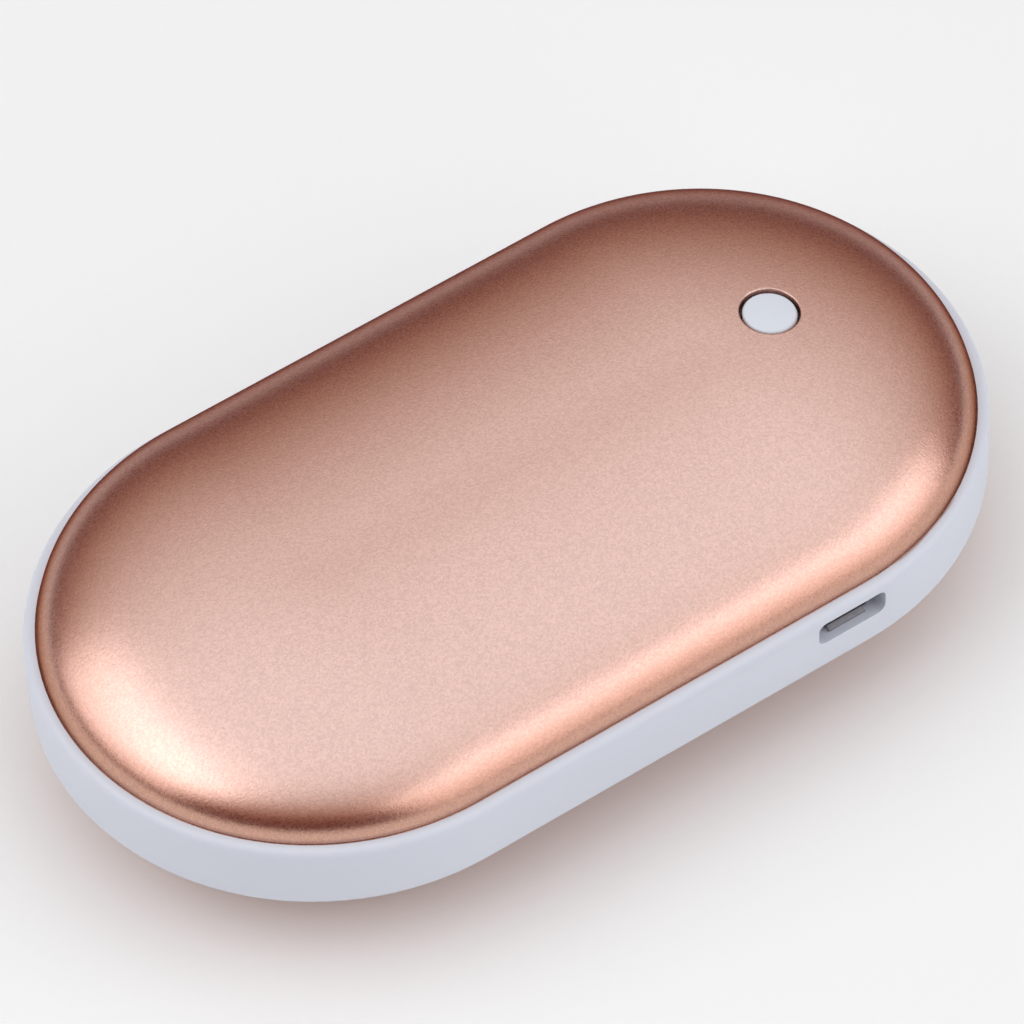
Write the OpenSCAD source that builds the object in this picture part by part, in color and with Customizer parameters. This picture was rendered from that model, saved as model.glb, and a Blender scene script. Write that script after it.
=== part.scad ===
// Rechargeable pocket hand warmer: a smooth pebble of two domed metal shells on a plastic side band.
// Inside are two battery cells, a heating film under each shell, and a circuit board at the button end.
// Millimetres. The origin is the middle of the underside; +X runs towards the button, +Z is up.

/* [Case] */
// Overall length of the case along X
case_length = 105; // [90:0.5:122]
// Overall width of the case, across the side band
case_width = 58.8; // [50:0.2:68]
// Height of the side band
band_height = 8.2; // [8.2:0.1:9.6]
// Rise of each shell beyond the band's edge
dome_rise = 9.1; // [8.9:0.1:11]
// Half the width of the flat strip along each shell's crown
crown_half_width = 2.4; // [1.4:0.2:4]
// Sheet thickness of the shells
shell_wall = 1; // [0.8:0.05:1.05]
// Distance from the band's outer face to the shell's edge
shell_inset = 1.3; // [1.2:0.05:1.4]
// Depth of the shell's edge below the band's rim
shell_seat = 0.6; // [0.4:0.05:0.65]
// Open reveal between the shell's edge and the band's rim
reveal_gap = 0.1; // [0.08:0.01:0.2]
// Width of the band's wall that shows inside the shell's sheet
band_ledge = 0.2; // [0.1:0.05:0.5]
// Rounding of the band's outer edges
band_fillet = 0.9; // [0.5:0.05:0.95]

/* [Button] */
// Distance from the end of the case to the button's axis
button_from_end = 20.5; // [20.3:0.1:21]
// Diameter of the button's hole in the top shell
button_hole_diameter = 6.2; // [6:0.05:6.6]
// Gap all round the button's cap in its hole
button_gap = 0.3; // [0.2:0.02:0.4]
// How far the cap's crown lies below the surface of the shell
button_recess = 0.2; // [0.1:0.05:0.3]
// Radius of the cap's rounded crown
button_crown_radius = 26; // [18:1:60]
// Travel of the button when it is pressed
button_travel = 0.3; // [0.2:0.05:0.35]

/* [Charging port] */
// Distance from the button's axis back to the middle of the port
port_from_button = 11.1; // [11:0.1:12]
// Height of the port's middle above the middle plane of the case
port_above_middle = 1.4; // [1.3:0.05:1.45]
// Gap in the side band's opening at each side of the socket's mouth
port_side_gap = 0.15; // [0.1:0.01:0.4]
// Gap in the side band's opening above and below the socket's mouth
port_top_gap = 0.075; // [0.05:0.005:0.12]
// Corner radius of the port's opening
port_opening_radius = 0.9; // [0.5:0.05:1.1]
// Depth of the socket's mouth behind the band's outer face
port_recess = 0.9; // [0.7:0.05:1.1]
// Outer width of the socket
port_width = 7.5; // [6.8:0.05:8.2]
// Outer height of the socket
port_height = 2.45; // [2.3:0.05:2.6]
// Length of the socket
port_length = 5.6; // [5.2:0.1:5.8]

/* [Battery] */
// Gap between the two cells' sleeves
cell_gap = 0.24; // [0.16:0.02:0.4]
// Gap from the cells' closed ends to the curved wall of the side band
cell_to_band = 1.17; // [1.15:0.01:2]
// Height of the room for wires and foam between the cells and the heating tracks
cell_to_track = 2.725; // [2.5:0.025:3.2]
// Gap from the cells' contacts to the straight edge of the board
cell_to_board = 2; // [1.8:0.1:2.6]

/* [Heating films] */
// Half the width of a heating film
film_half_width = 15; // [12:0.5:16]
// Thickness of a heating film
film_thickness = 0.2; // [0.15:0.01:0.25]
// Number of parallel runs in a heating track, always even
track_runs = 10; // [6:2:12]
// Width of the heating track
track_width = 1.1; // [0.8:0.1:1.4]

/* [Board] */
// Thickness of the circuit board
board_thickness = 1; // [0.8:0.1:1.1]
// Distance from the board's straight edge to the button's axis
board_edge_to_button = 5.8; // [5.7:0.1:6]
// Overall height of the push switch above the board
switch_height = 5; // [4.6:0.1:5.4]

/* [Hidden] */
$fn = 96;
// Overrun of every cut past the surface that it opens
cut_over = 1;
// Gap of a bonded or seated face
seat_gap = 0.05;
// Gap beside a part that drops into its place
fit_gap = 0.1;
// Gap that a soldered wire's end leaves to its pad
solder_gap = 0.12;

// Heights and radii of the case
band_top_z = dome_rise + band_height;
middle_z = dome_rise + band_height / 2;
case_height = 2 * dome_rise + band_height;
band_radius = case_width / 2;
end_centre_x = (case_length - case_width) / 2;
shell_radius = band_radius - shell_inset;
seat_z = band_top_z - shell_seat;
band_wall = shell_inset + shell_wall + band_ledge;
band_inner_radius = band_radius - band_wall;
shell_arc_steps = 40;
film_arc_steps = 16;
fillet_steps = 8;

// Button, guide and hole
button_x = case_length / 2 - button_from_end;
button_cap_diameter = button_hole_diameter - 2 * button_gap;
flange_overhang = 1;
flange_diameter = button_cap_diameter + 2 * flange_overhang;
flange_height = 0.9;
guide_rim = 1.7;
guide_diameter = flange_diameter + 2 * guide_rim;
guide_height = 1.15;
guide_bottom_z = under_shell_z(button_x - end_centre_x, shell_wall) - guide_height;
guide_clearance = 0.1;
stem_diameter = 3;
stem_rib_width = 0.8;
stem_rib_span = 5;
switch_size = 6;

// Socket
port_x = button_x - port_from_button;
port_z = middle_z + port_above_middle;
port_sheet = 0.25;
port_bottom_width = 5.2;
port_bevel_height = 1.1;
port_lip_length = 0.5;
port_lip_flare = 0.2;
port_bottom_lip_width = 4.4;
port_top_lip_width = 5.8;
port_side_lip_height = 0.7;
port_opening_width = port_width + 2 * (port_lip_flare + port_side_gap);
port_opening_height = port_height + 2 * (port_lip_flare + port_top_gap);
port_foot_length = 1.4;
port_foot_width = 0.9;
port_base_depth = 1.2;
port_tongue_width = 4.2;
port_tongue_thickness = 0.6;
port_tongue_drop = 0.3;
port_tongue_setback = 0.9;
port_contact_count = 5;
port_contact_pitch = 0.65;
port_contact_width = 0.3;
port_contact_thickness = 0.12;
port_contact_setback = 0.3;
port_tail_length = 0.8;

// Board
board_top_z = port_z - port_height / 2;
board_bottom_z = board_top_z - board_thickness;
board_edge_x = button_x - board_edge_to_button;
board_to_band = 0.5;
board_radius = band_inner_radius - board_to_band;
board_length = end_centre_x + board_radius - board_edge_x;
board_arc_steps = 24;
tongue_reach = 8.9;
tongue_width = 7.22;
tongue_end_x = port_x - tongue_reach;
tongue_to_cell = 0.5;
screw_hole_diameter = 1.8;
screw_shank_diameter = 1.6;
screw_tip_gap = 0.425;
screw_head_diameter = 3;
screw_head_height = 1;
screw_recess_width = 0.5;
screw_recess_length = 1.8;
screw_recess_depth = 0.5;
boss_diameter = 4.4;
boss_to_shell = 0.1;
boss_height = board_bottom_z - seat_gap - dome_rise - shell_seat - boss_to_shell;
screw_shank_length = board_thickness + 2 * seat_gap + boss_height - screw_tip_gap;
boss_inset = 2;
boss_angle = 52;
boss_from_tongue_end = 2.4;
ledge_width = 1.5;
ledge_height = 1.2;
ledge_start_angle = 16;
ledge_end_angle = 74;

// Films, tracks and foam
film_end_margin = 3.1;
film_depth = shell_wall + seat_gap;
track_depth = film_depth + film_thickness + seat_gap / 2;
track_thickness = 0.1;
track_margin = 1.6;
foam_thickness = 2.5;
foam_half_width = 14;
foam_gap = 0.1;
foam_depth = track_depth + track_thickness + foam_gap;
foam_to_bracket = 1.2;
film_half_length = end_centre_x - film_end_margin;

// Cells, sleeves and links; the cells are the largest that the case has room for, across and up
sleeve_wall = 0.15;
sleeve_gap = 0.03;
sleeve_lip = 1.6;
sleeve_room_across = (board_radius - tongue_width - tongue_to_cell - cell_gap / 2) / 2;
sleeve_room_up = dome_rise + band_height / 2 - track_depth - track_thickness - cell_to_track
    + sleeve_gap + sleeve_wall;
sleeve_radius = min(sleeve_room_across, sleeve_room_up);
cell_radius = sleeve_radius - sleeve_gap - sleeve_wall;
cell_pitch = 2 * sleeve_radius + cell_gap;
cell_reach = cell_pitch / 2 + sleeve_radius;
cell_to_shell = 0.45;
shell_room_radius = radius_under_shell(middle_z + sleeve_radius + cell_to_shell, shell_wall);
cell_start_x = -end_centre_x - min(
    sqrt(pow(band_inner_radius - cell_to_band, 2) - pow(cell_reach, 2)),
    sqrt(pow(shell_room_radius, 2) - pow(cell_pitch / 2, 2))
);
cell_end_x = board_edge_x - cell_to_board;
cell_length = cell_end_x - cell_start_x;
contact_diameter = 7.6;
contact_height = 1.3;
bead_from_shoulder = 3.2;
bead_width = 0.8;
bead_depth = 0.6;
washer_hole_diameter = 9.4;
washer_thickness = 0.3;
strip_thickness = 0.15;
strip_height = 7;
strip_overhang = 3.6;
strip_gap = 0.02;
strip_slot_width = 0.8;
strip_slot_length = 4;

// Brackets that hold the cells in the band
bracket_thickness = 1.6;
bracket_rim = 1.15;
bracket_gap = 0.08;
left_bracket_from_start = 8.8;
right_bracket_from_end = 16.2;
left_bracket_x = cell_start_x + left_bracket_from_start;
right_bracket_x = cell_end_x - right_bracket_from_end;
ear_gap = 0.3;
guide_rib = 1;
ear_half_height = band_height / 2 - shell_seat - guide_rib - fit_gap - seat_gap;
guide_depth = 1.7;
guide_root = 0.9;

// Liners that are bonded in the shells and clip into the band
liner_wall = 1;
liner_height = 3.2;
liner_arc_steps = 8;
hook_wall = 0.75;
hook_width = 4;
hook_to_board = 0.175;
hook_length = board_bottom_z - dome_rise - shell_seat - hook_to_board;
hook_gap = 0.12;
hook_barb = 0.5;
hook_barb_height = 0.9;
pocket_depth = 0.6;
hook_place_shares = [0.4, 0.8];

// Wires and their pads on the board
wire_radius = 0.6;
wire_sides = 8;
wire_smooth_steps = 4;
heater_pad_inset = 2;
heater_pad_x = board_edge_x + heater_pad_inset;
heater_pad_share = 0.7;
heater_pad_y = board_radius * heater_pad_share;
battery_pad_inset = (board_edge_to_button - switch_size / 2) / 2;
battery_pad_x = board_edge_x + battery_pad_inset;
plus_pad_share = 0.265;
plus_pad_y = board_radius * plus_pad_share;
groove_rise = 6.4;
lead_radius = 0.3;
lead_spacing = 0.9;
thermistor_radius = 0.9;
thermistor_from_film_end = 6;
thermistor_x = film_half_length - thermistor_from_film_end;
thermistor_y = -5;
lead_pad_inset = 1.6;
lead_pad_x = board_edge_x + lead_pad_inset;

// Push switch
switch_body_height = 3.2;
switch_floor = 0.8;
switch_cavity_diameter = 4.9;
switch_cover_thickness = 0.2;
switch_cover_hole_diameter = 3.7;
switch_cover_tab_width = 2;
switch_cover_tab_length = 1.6;
plunger_diameter = 3.4;
plunger_collar_diameter = 4.4;
plunger_collar_height = 0.7;
snap_dome_diameter = 4.6;
snap_dome_spare = 0.15;
snap_dome_height = button_travel + snap_dome_spare;
snap_dome_thickness = 0.1;
snap_dome_steps = 10;
switch_leg_width = 0.7;
switch_leg_thickness = 0.2;
switch_leg_reach = 1.1;
switch_leg_spacing = 4.5;
switch_leg_rise = 0.8;

// Parts on the board. Places are shares of its length from the straight edge, and of its radius across
inductor_place_shares = [0.515, -0.511];
inductor_size = [6, 6, 3];
inductor_core_diameter = 4.6;
inductor_core_rise = 0.2;
inductor_corner = 1.2;
charger_place_shares = [0.223, -0.508];
charger_size = [4.9, 3.9, 1.5];
charger_legs = 4;
controller_place_shares = [0.79, 0];
controller_size = [8.65, 3.9, 1.5];
controller_legs = 7;
chip_leg_pitch = 1.27;
chip_leg_width = 0.42;
chip_leg_thickness = 0.2;
chip_leg_reach = 1.05;
chip_standoff = 0.1;
transistor_place_shares = [[0.25, 0.508], [0.6, 0.439]];
transistor_size = [6.5, 6.1, 2.3];
transistor_tab = [5.3, 1.2, 0.5];
transistor_leg = [0.8, 1.6, 0.5];
transistor_leg_spacing = 4.6;
capacitor_place_shares = [[0.25, -0.8], [0.283, 0.239], [0.807, -0.318]];
capacitor_size = [3.2, 1.6, 1.2];
resistor_place_shares = [[0.481, -0.288], [0.44, 0.235], [0.137, -0.311], [0.824, 0.261]];
resistor_size = [1.6, 0.8, 0.5];
chip_cap_share = 0.18;
lamp_size = [1.6, 1.2, 0.7];
lamp_gap = 0.6;
lamp_spacing = 4.4;
lamp_base_share = 0.4;

function quarter_arch(flat, rx, rz, from, to, steps) =
    [for (i = [0 : steps]) let (t = from + (to - from) * i / steps) [flat + rx * sin(t), rz * cos(t)]];
function reversed(list) = [for (i = [len(list) - 1 : -1 : 0]) list[i]];
function arc_points(centre, radius, from, to, steps) =
    [for (i = [0 : steps]) let (t = from + (to - from) * i / steps) centre + radius * [cos(t), sin(t)]];
function shell_half_run() = shell_radius - crown_half_width;
// Height of the surface that lies a depth under a shell's outer face, at a distance from the axis
function under_shell_z(distance, depth) =
    let (run = shell_half_run() - depth, along = max(distance - crown_half_width, 0))
    band_top_z + (dome_rise - depth) * sqrt(1 - pow(along / run, 2));
// Distance from the axis at which that surface has come down to a height
function radius_under_shell(z, depth) =
    crown_half_width + (shell_half_run() - depth) * sqrt(1 - pow((z - band_top_z) / (dome_rise - depth), 2));
// Reach across Y, at a place along X, of a wall that runs round the case at a radius
function wall_y(x, radius) = sqrt(pow(radius, 2) - pow(max(abs(x) - end_centre_x, 0), 2));

// Carries a profile of radius and height round the racetrack outline of the case
module racetrack() {
    for (side = [0, 180]) {
        rotate([0, 0, side]) translate([end_centre_x, 0, 0]) rotate([0, 0, -90])
            rotate_extrude(angle = 180) children();
    }
    rotate([90, 0, 90]) linear_extrude(height = 2 * end_centre_x, center = true) {
        children();
        mirror([1, 0]) children();
    }
}

// Turns a top piece over into the matching bottom piece
module turned_over() {
    translate([0, 0, case_height]) mirror([0, 0, 1]) children();
}

// Places a piece that was drawn along +X at each clip along the band's inner wall
module at_clips() {
    for (share = hook_place_shares, turn = [-90, 90]) {
        translate([left_bracket_x + share * (right_bracket_x - left_bracket_x), 0, 0])
            rotate([0, 0, turn]) children();
    }
    for (turn = [0, 180]) {
        rotate([0, 0, turn]) translate([end_centre_x, 0, 0]) children();
    }
}

// Slab with its middle at the origin in X and Y, standing on Z
module slab(size) {
    translate([-size[0] / 2, -size[1] / 2, 0]) cube(size);
}

module shell_profile() {
    outer = quarter_arch(crown_half_width, shell_half_run(), dome_rise, 0, 90, shell_arc_steps);
    inner = quarter_arch(crown_half_width, shell_half_run() - shell_wall, dome_rise - shell_wall,
        0, 90, shell_arc_steps);
    crown = [[0, dome_rise - shell_wall], [0, dome_rise]];
    edge = [[shell_radius, -shell_seat], [shell_radius - shell_wall, -shell_seat]];
    translate([0, band_top_z]) polygon(concat(crown, outer, edge, reversed(inner)));
}

module top_shell() {
    color([0.8, 0.62, 0.56]) difference() {
        racetrack() shell_profile();
        translate([button_x, 0, band_top_z])
            cylinder(d = button_hole_diameter, h = dome_rise + cut_over);
    }
}

module bottom_shell() {
    color([0.78, 0.6, 0.54]) turned_over() racetrack() shell_profile();
}

// Half of the band's section above the middle plane; the other half mirrors it
module band_profile() {
    half = band_height / 2;
    rim_radius = shell_radius + reveal_gap;
    corner = [band_radius - band_fillet, half - band_fillet];
    upper = concat(
        [[band_inner_radius, 0], [band_inner_radius, half - shell_seat]],
        [[rim_radius, half - shell_seat], [rim_radius, half]],
        reversed(arc_points(corner, band_fillet, 0, 90, fillet_steps)),
        [[band_radius, 0]]
    );
    translate([0, middle_z]) {
        polygon(upper);
        mirror([0, 1]) polygon(upper);
    }
}

// Rounded opening for the socket, drawn through the front wall
module port_opening() {
    across = port_opening_width / 2 - port_opening_radius;
    up = port_opening_height / 2 - port_opening_radius;
    translate([port_x, -band_inner_radius + cut_over, port_z]) rotate([90, 0, 0])
        linear_extrude(height = band_wall + 2 * cut_over) {
            square([port_opening_width, 2 * up], center = true);
            square([2 * across, port_opening_height], center = true);
            for (x = [-across, across], y = [-up, up]) {
                translate([x, y]) circle(r = port_opening_radius);
            }
        }
}

// Pocket that takes the barb of one clip
module clip_pocket() {
    base_z = seat_z - hook_length - fit_gap;
    translate([band_inner_radius - cut_over, -hook_width / 2 - fit_gap, base_z])
        cube([cut_over + pocket_depth, hook_width + 2 * fit_gap, hook_barb_height + 2 * fit_gap]);
}

function ear_reach(x) = wall_y(abs(x) + bracket_thickness / 2, band_inner_radius - ear_gap);

// Open-topped channel on the band's inner wall that holds one ear of a cell bracket
module ear_channel(x, side) {
    slot_width = bracket_thickness + 2 * fit_gap;
    width = slot_width + 2 * guide_rib;
    reach = ear_reach(x);
    floor_z = middle_z - ear_half_height - fit_gap;
    height = 2 * ear_half_height + fit_gap;
    translate([x, 0, floor_z - guide_rib]) mirror([0, side < 0 ? 1 : 0, 0]) difference() {
        translate([-width / 2, reach - guide_depth, 0])
            cube([width, guide_depth + guide_root, height + guide_rib]);
        translate([-slot_width / 2, reach - guide_depth - cut_over, guide_rib])
            cube([slot_width, guide_depth + cut_over + fit_gap, height + cut_over]);
    }
}

// Places of the board's screws, in the plane of the board
function screw_places() =
    let (reach = band_inner_radius - boss_inset)
    [
        [end_centre_x + reach * cos(boss_angle), reach * sin(boss_angle)],
        [end_centre_x + reach * cos(boss_angle), -reach * sin(boss_angle)],
        [tongue_end_x + boss_from_tongue_end, -reach]
    ];

module side_band() {
    ledge_bottom_z = board_bottom_z - seat_gap - ledge_height;
    color([0.86, 0.87, 0.92]) difference() {
        union() {
            difference() {
                racetrack() band_profile();
                port_opening();
                at_clips() clip_pocket();
                turned_over() at_clips() clip_pocket();
            }
            for (x = [left_bracket_x, right_bracket_x], side = [-1, 1]) {
                ear_channel(x, side);
            }
            for (side = [0, 1]) {
                translate([end_centre_x, 0, ledge_bottom_z]) mirror([0, side, 0])
                    rotate([0, 0, ledge_start_angle])
                    rotate_extrude(angle = ledge_end_angle - ledge_start_angle)
                    translate([band_inner_radius - ledge_width, 0])
                    square([ledge_width + guide_root, ledge_height]);
            }
            for (place = screw_places()) {
                translate([place[0], place[1], board_bottom_z - seat_gap - boss_height])
                    cylinder(d = boss_diameter, h = boss_height);
            }
        }
        for (place = screw_places()) {
            translate([place[0], place[1], board_bottom_z - boss_height - cut_over])
                cylinder(d = screw_shank_diameter + seat_gap, h = boss_height + 2 * cut_over);
        }
    }
}

module liner_profile() {
    depth = shell_wall + seat_gap;
    run = shell_half_run() - depth;
    rise = dome_rise - depth;
    outer = concat(
        [[crown_half_width + run, seat_gap - shell_seat]],
        reversed(quarter_arch(crown_half_width, run, rise, acos(liner_height / rise), 90, liner_arc_steps))
    );
    inner = [for (p = outer) p - [liner_wall, 0]];
    translate([0, band_top_z]) polygon(concat(outer, reversed(inner)));
}

module clip_hook() {
    outer = band_inner_radius - hook_gap;
    inner = outer - hook_wall;
    top_z = seat_z + liner_wall;
    tip_z = seat_z - hook_length;
    translate([0, hook_width / 2, 0]) rotate([90, 0, 0]) linear_extrude(height = hook_width)
        polygon([
            [inner, top_z],
            [outer, top_z],
            [outer, tip_z + hook_barb_height],
            [outer + hook_barb, tip_z + hook_barb_height],
            [outer + hook_barb, tip_z + hook_barb_height / 2],
            [outer, tip_z],
            [inner, tip_z]
        ]);
}

module liner() {
    racetrack() liner_profile();
    at_clips() clip_hook();
}

module top_liner() {
    color([0.3, 0.31, 0.33]) liner();
}

module bottom_liner() {
    color([0.27, 0.28, 0.3]) turned_over() liner();
}

// Collar bonded under the top shell, whose upper face follows the shell
module button_guide() {
    color([0.24, 0.25, 0.27]) difference() {
        intersection() {
            translate([button_x, 0, guide_bottom_z]) cylinder(d = guide_diameter, h = dome_rise);
            racetrack() translate([0, band_top_z]) polygon(concat(
                [[0, 0], [0, dome_rise - shell_wall - seat_gap]],
                quarter_arch(crown_half_width, shell_half_run() - shell_wall - seat_gap,
                    dome_rise - shell_wall - seat_gap, 0, 90, shell_arc_steps)
            ));
        }
        translate([button_x, 0, guide_bottom_z - cut_over])
            cylinder(d = button_cap_diameter + 2 * guide_clearance, h = dome_rise + cut_over);
    }
}

// Cap, flange and ribbed stem; the crown leans the way the shell slopes
module power_button() {
    distance = button_x - end_centre_x;
    along = max(distance - crown_half_width, 0);
    run = shell_half_run();
    lean = atan(dome_rise / run * along / sqrt(pow(run, 2) - pow(along, 2)));
    crown_z = under_shell_z(distance, 0) - button_recess;
    flange_z = guide_bottom_z - seat_gap - flange_height;
    foot_z = board_top_z + switch_height;
    color([0.88, 0.91, 0.94]) translate([button_x, 0, 0]) union() {
        intersection() {
            translate([0, 0, flange_z]) cylinder(d = button_cap_diameter, h = dome_rise);
            translate([-button_crown_radius * sin(lean), 0, crown_z - button_crown_radius * cos(lean)])
                sphere(r = button_crown_radius);
        }
        translate([0, 0, flange_z]) cylinder(d = flange_diameter, h = flange_height);
        translate([0, 0, foot_z]) cylinder(d = stem_diameter, h = flange_z - foot_z + seat_gap);
        for (turn = [0, 90]) {
            rotate([0, 0, turn]) translate([0, 0, foot_z + stem_rib_width])
                slab([stem_rib_span, stem_rib_width, flange_z - foot_z - stem_rib_width + seat_gap]);
        }
    }
}

module switch_body() {
    color([0.12, 0.12, 0.13]) translate([button_x, 0, board_top_z]) difference() {
        slab([switch_size, switch_size, switch_body_height]);
        translate([0, 0, switch_floor]) cylinder(d = switch_cavity_diameter, h = switch_body_height);
    }
}

module switch_cover() {
    tab_reach = switch_size / 2 + switch_cover_thickness;
    color([0.75, 0.76, 0.78]) translate([button_x, 0, board_top_z + switch_body_height]) {
        difference() {
            slab([switch_size, switch_size, switch_cover_thickness]);
            translate([0, 0, -cut_over])
                cylinder(d = switch_cover_hole_diameter, h = switch_cover_thickness + 2 * cut_over);
        }
        for (side = [-1, 1]) {
            translate([side * (tab_reach - switch_cover_thickness / 2), 0, -switch_cover_tab_length])
                slab([switch_cover_thickness, switch_cover_tab_width,
                    switch_cover_tab_length + switch_cover_thickness]);
        }
    }
}

module switch_plunger() {
    base_z = switch_floor + snap_dome_height + snap_dome_thickness + seat_gap;
    color([0.2, 0.2, 0.22]) translate([button_x, 0, board_top_z]) {
        translate([0, 0, base_z]) cylinder(d = plunger_diameter, h = switch_height - base_z);
        translate([0, 0, switch_body_height - seat_gap - plunger_collar_height])
            cylinder(d = plunger_collar_diameter, h = plunger_collar_height);
    }
}

// Shallow snap dome of spring metal under the plunger
module switch_dome() {
    half = snap_dome_diameter / 2;
    outer = [for (i = [0 : snap_dome_steps]) let (t = i / snap_dome_steps)
        [half * t, snap_dome_height * (1 - pow(t, 2)) + snap_dome_thickness]];
    inner = [for (p = outer) p - [0, snap_dome_thickness]];
    color([0.8, 0.8, 0.78]) translate([button_x, 0, board_top_z + switch_floor])
        rotate_extrude() polygon(concat(outer, reversed(inner)));
}

module switch_legs() {
    color([0.82, 0.82, 0.84]) translate([button_x, 0, board_top_z]) {
        for (x = [-1, 1], y = [-1, 1]) {
            translate([x * switch_leg_spacing / 2, y * (switch_size + switch_leg_reach) / 2, 0])
                slab([switch_leg_width, switch_leg_reach, switch_leg_thickness]);
            translate([x * switch_leg_spacing / 2, y * (switch_size + switch_leg_thickness) / 2, 0])
                slab([switch_leg_width, switch_leg_thickness, switch_leg_rise]);
        }
    }
}

module circuit_board() {
    start = acos((board_edge_x - end_centre_x) / board_radius);
    tongue_y = tongue_width - board_radius;
    color([0.1, 0.34, 0.2]) translate([0, 0, board_bottom_z])
        linear_extrude(height = board_thickness) difference() {
            polygon(concat(
                arc_points([end_centre_x, 0], board_radius, start, -90, board_arc_steps),
                [[tongue_end_x, -board_radius], [tongue_end_x, tongue_y], [board_edge_x, tongue_y]]
            ));
            for (place = screw_places()) {
                translate(place) circle(d = screw_hole_diameter);
            }
        }
}

module board_screw(index) {
    place = screw_places()[index];
    color([0.7, 0.7, 0.72]) translate([place[0], place[1], board_top_z + seat_gap]) {
        translate([0, 0, -screw_shank_length]) cylinder(d = screw_shank_diameter, h = screw_shank_length);
        difference() {
            cylinder(d = screw_head_diameter, h = screw_head_height);
            for (turn = [0, 90]) {
                rotate([0, 0, turn]) translate([0, 0, screw_head_height - screw_recess_depth])
                    slab([screw_recess_length, screw_recess_width, screw_recess_depth + cut_over]);
            }
        }
    }
}

// Section of the socket: wide on top, with both lower corners bevelled, set in by a thickness
module socket_section(inward) {
    half = port_width / 2;
    low = port_bottom_width / 2;
    slope = atan(port_bevel_height / (half - low));
    side_z = port_bevel_height + inward * (1 - sin(slope)) / cos(slope);
    low_x = low - inward * (1 - cos(slope)) / sin(slope);
    polygon([
        [-half + inward, port_height - inward],
        [-half + inward, side_z],
        [-low_x, inward],
        [low_x, inward],
        [half - inward, side_z],
        [half - inward, port_height - inward]
    ]);
}

// One flared lip at the socket's mouth, drawn on the lower wall and turned to its side
module socket_lip(width) {
    translate([-width / 2, 0, 0]) rotate([90, 0, 90]) linear_extrude(height = width)
        polygon([
            [0, -port_lip_flare],
            [port_lip_length, 0],
            [2 * port_lip_length, 0],
            [2 * port_lip_length, port_sheet],
            [port_lip_length, port_sheet],
            [0, port_sheet - port_lip_flare]
        ]);
}

module at_port() {
    translate([port_x, port_recess - band_radius, board_top_z]) children();
}

module port_shell() {
    body_length = port_length - port_lip_length;
    color([0.74, 0.75, 0.77]) at_port() {
        translate([0, port_length, 0]) rotate([90, 0, 0]) linear_extrude(height = body_length)
            difference() {
                socket_section(0);
                socket_section(port_sheet);
            }
        socket_lip(port_bottom_lip_width);
        translate([0, 0, port_height]) mirror([0, 0, 1]) socket_lip(port_top_lip_width);
        for (side = [0, 1]) {
            mirror([side, 0, 0])
                translate([-port_width / 2, 0, port_height - port_sheet - port_side_lip_height])
                rotate([0, 90, 0]) translate([-port_side_lip_height / 2, 0, 0])
                socket_lip(port_side_lip_height);
            mirror([side, 0, 0])
                translate([port_width / 2 - port_sheet, port_length - port_foot_length, 0])
                cube([port_sheet, port_foot_length, port_height / 2]);
            mirror([side, 0, 0])
                translate([port_width / 2 - port_sheet, port_length - port_foot_length, 0])
                cube([port_foot_width, port_foot_length, port_sheet]);
        }
    }
}

module port_tongue() {
    tongue_z = port_height - port_sheet - port_tongue_drop - port_tongue_thickness;
    color([0.1, 0.1, 0.11]) at_port() {
        translate([0, port_length, 0]) rotate([90, 0, 0]) linear_extrude(height = port_base_depth)
            socket_section(port_sheet + seat_gap);
        translate([-port_tongue_width / 2, port_tongue_setback, tongue_z])
            cube([port_tongue_width, port_length - port_base_depth - port_tongue_setback + seat_gap,
                port_tongue_thickness]);
    }
}

module port_contact(index) {
    offset_x = (index - (port_contact_count - 1) / 2) * port_contact_pitch;
    blade_z = port_height - port_sheet - port_tongue_drop - port_tongue_thickness - port_contact_thickness;
    blade_start = port_tongue_setback + port_contact_setback;
    translate([offset_x, 0, 0]) {
        translate([-port_contact_width / 2, blade_start, blade_z])
            cube([port_contact_width, port_length - port_base_depth - blade_start, port_contact_thickness]);
        translate([-port_contact_width / 2, port_length, 0])
            cube([port_contact_width, port_tail_length, port_contact_thickness]);
        translate([-port_contact_width / 2, port_length, 0])
            cube([port_contact_width, port_contact_thickness, blade_z]);
    }
}

module port_contacts() {
    color([0.85, 0.68, 0.3]) at_port() for (index = [0 : port_contact_count - 1]) {
        port_contact(index);
    }
}

// Lays a piece that stands on Z down along +X from a cell's closed end
module at_cell(side) {
    translate([cell_start_x, side * cell_pitch / 2, middle_z]) rotate([0, 90, 0]) children();
}

module battery_cell(side) {
    shoulder = cell_length - contact_height;
    bead = shoulder - bead_from_shoulder;
    color([0.72, 0.73, 0.75]) at_cell(side) rotate_extrude() polygon([
        [0, 0],
        [cell_radius, 0],
        [cell_radius, bead],
        [cell_radius - bead_depth, bead + bead_width / 2],
        [cell_radius, bead + bead_width],
        [cell_radius, shoulder],
        [contact_diameter / 2, shoulder],
        [contact_diameter / 2, cell_length],
        [0, cell_length]
    ]);
}

module cell_sleeve(side) {
    low = -sleeve_gap;
    high = cell_length - contact_height + sleeve_gap;
    inner = cell_radius + sleeve_gap;
    color([0.2, 0.42, 0.66]) at_cell(side) rotate_extrude() polygon([
        [cell_radius - sleeve_lip, low],
        [inner, low],
        [inner, high],
        [cell_radius - sleeve_lip, high],
        [cell_radius - sleeve_lip, high + sleeve_wall],
        [sleeve_radius, high + sleeve_wall],
        [sleeve_radius, low - sleeve_wall],
        [cell_radius - sleeve_lip, low - sleeve_wall]
    ]);
}

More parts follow.
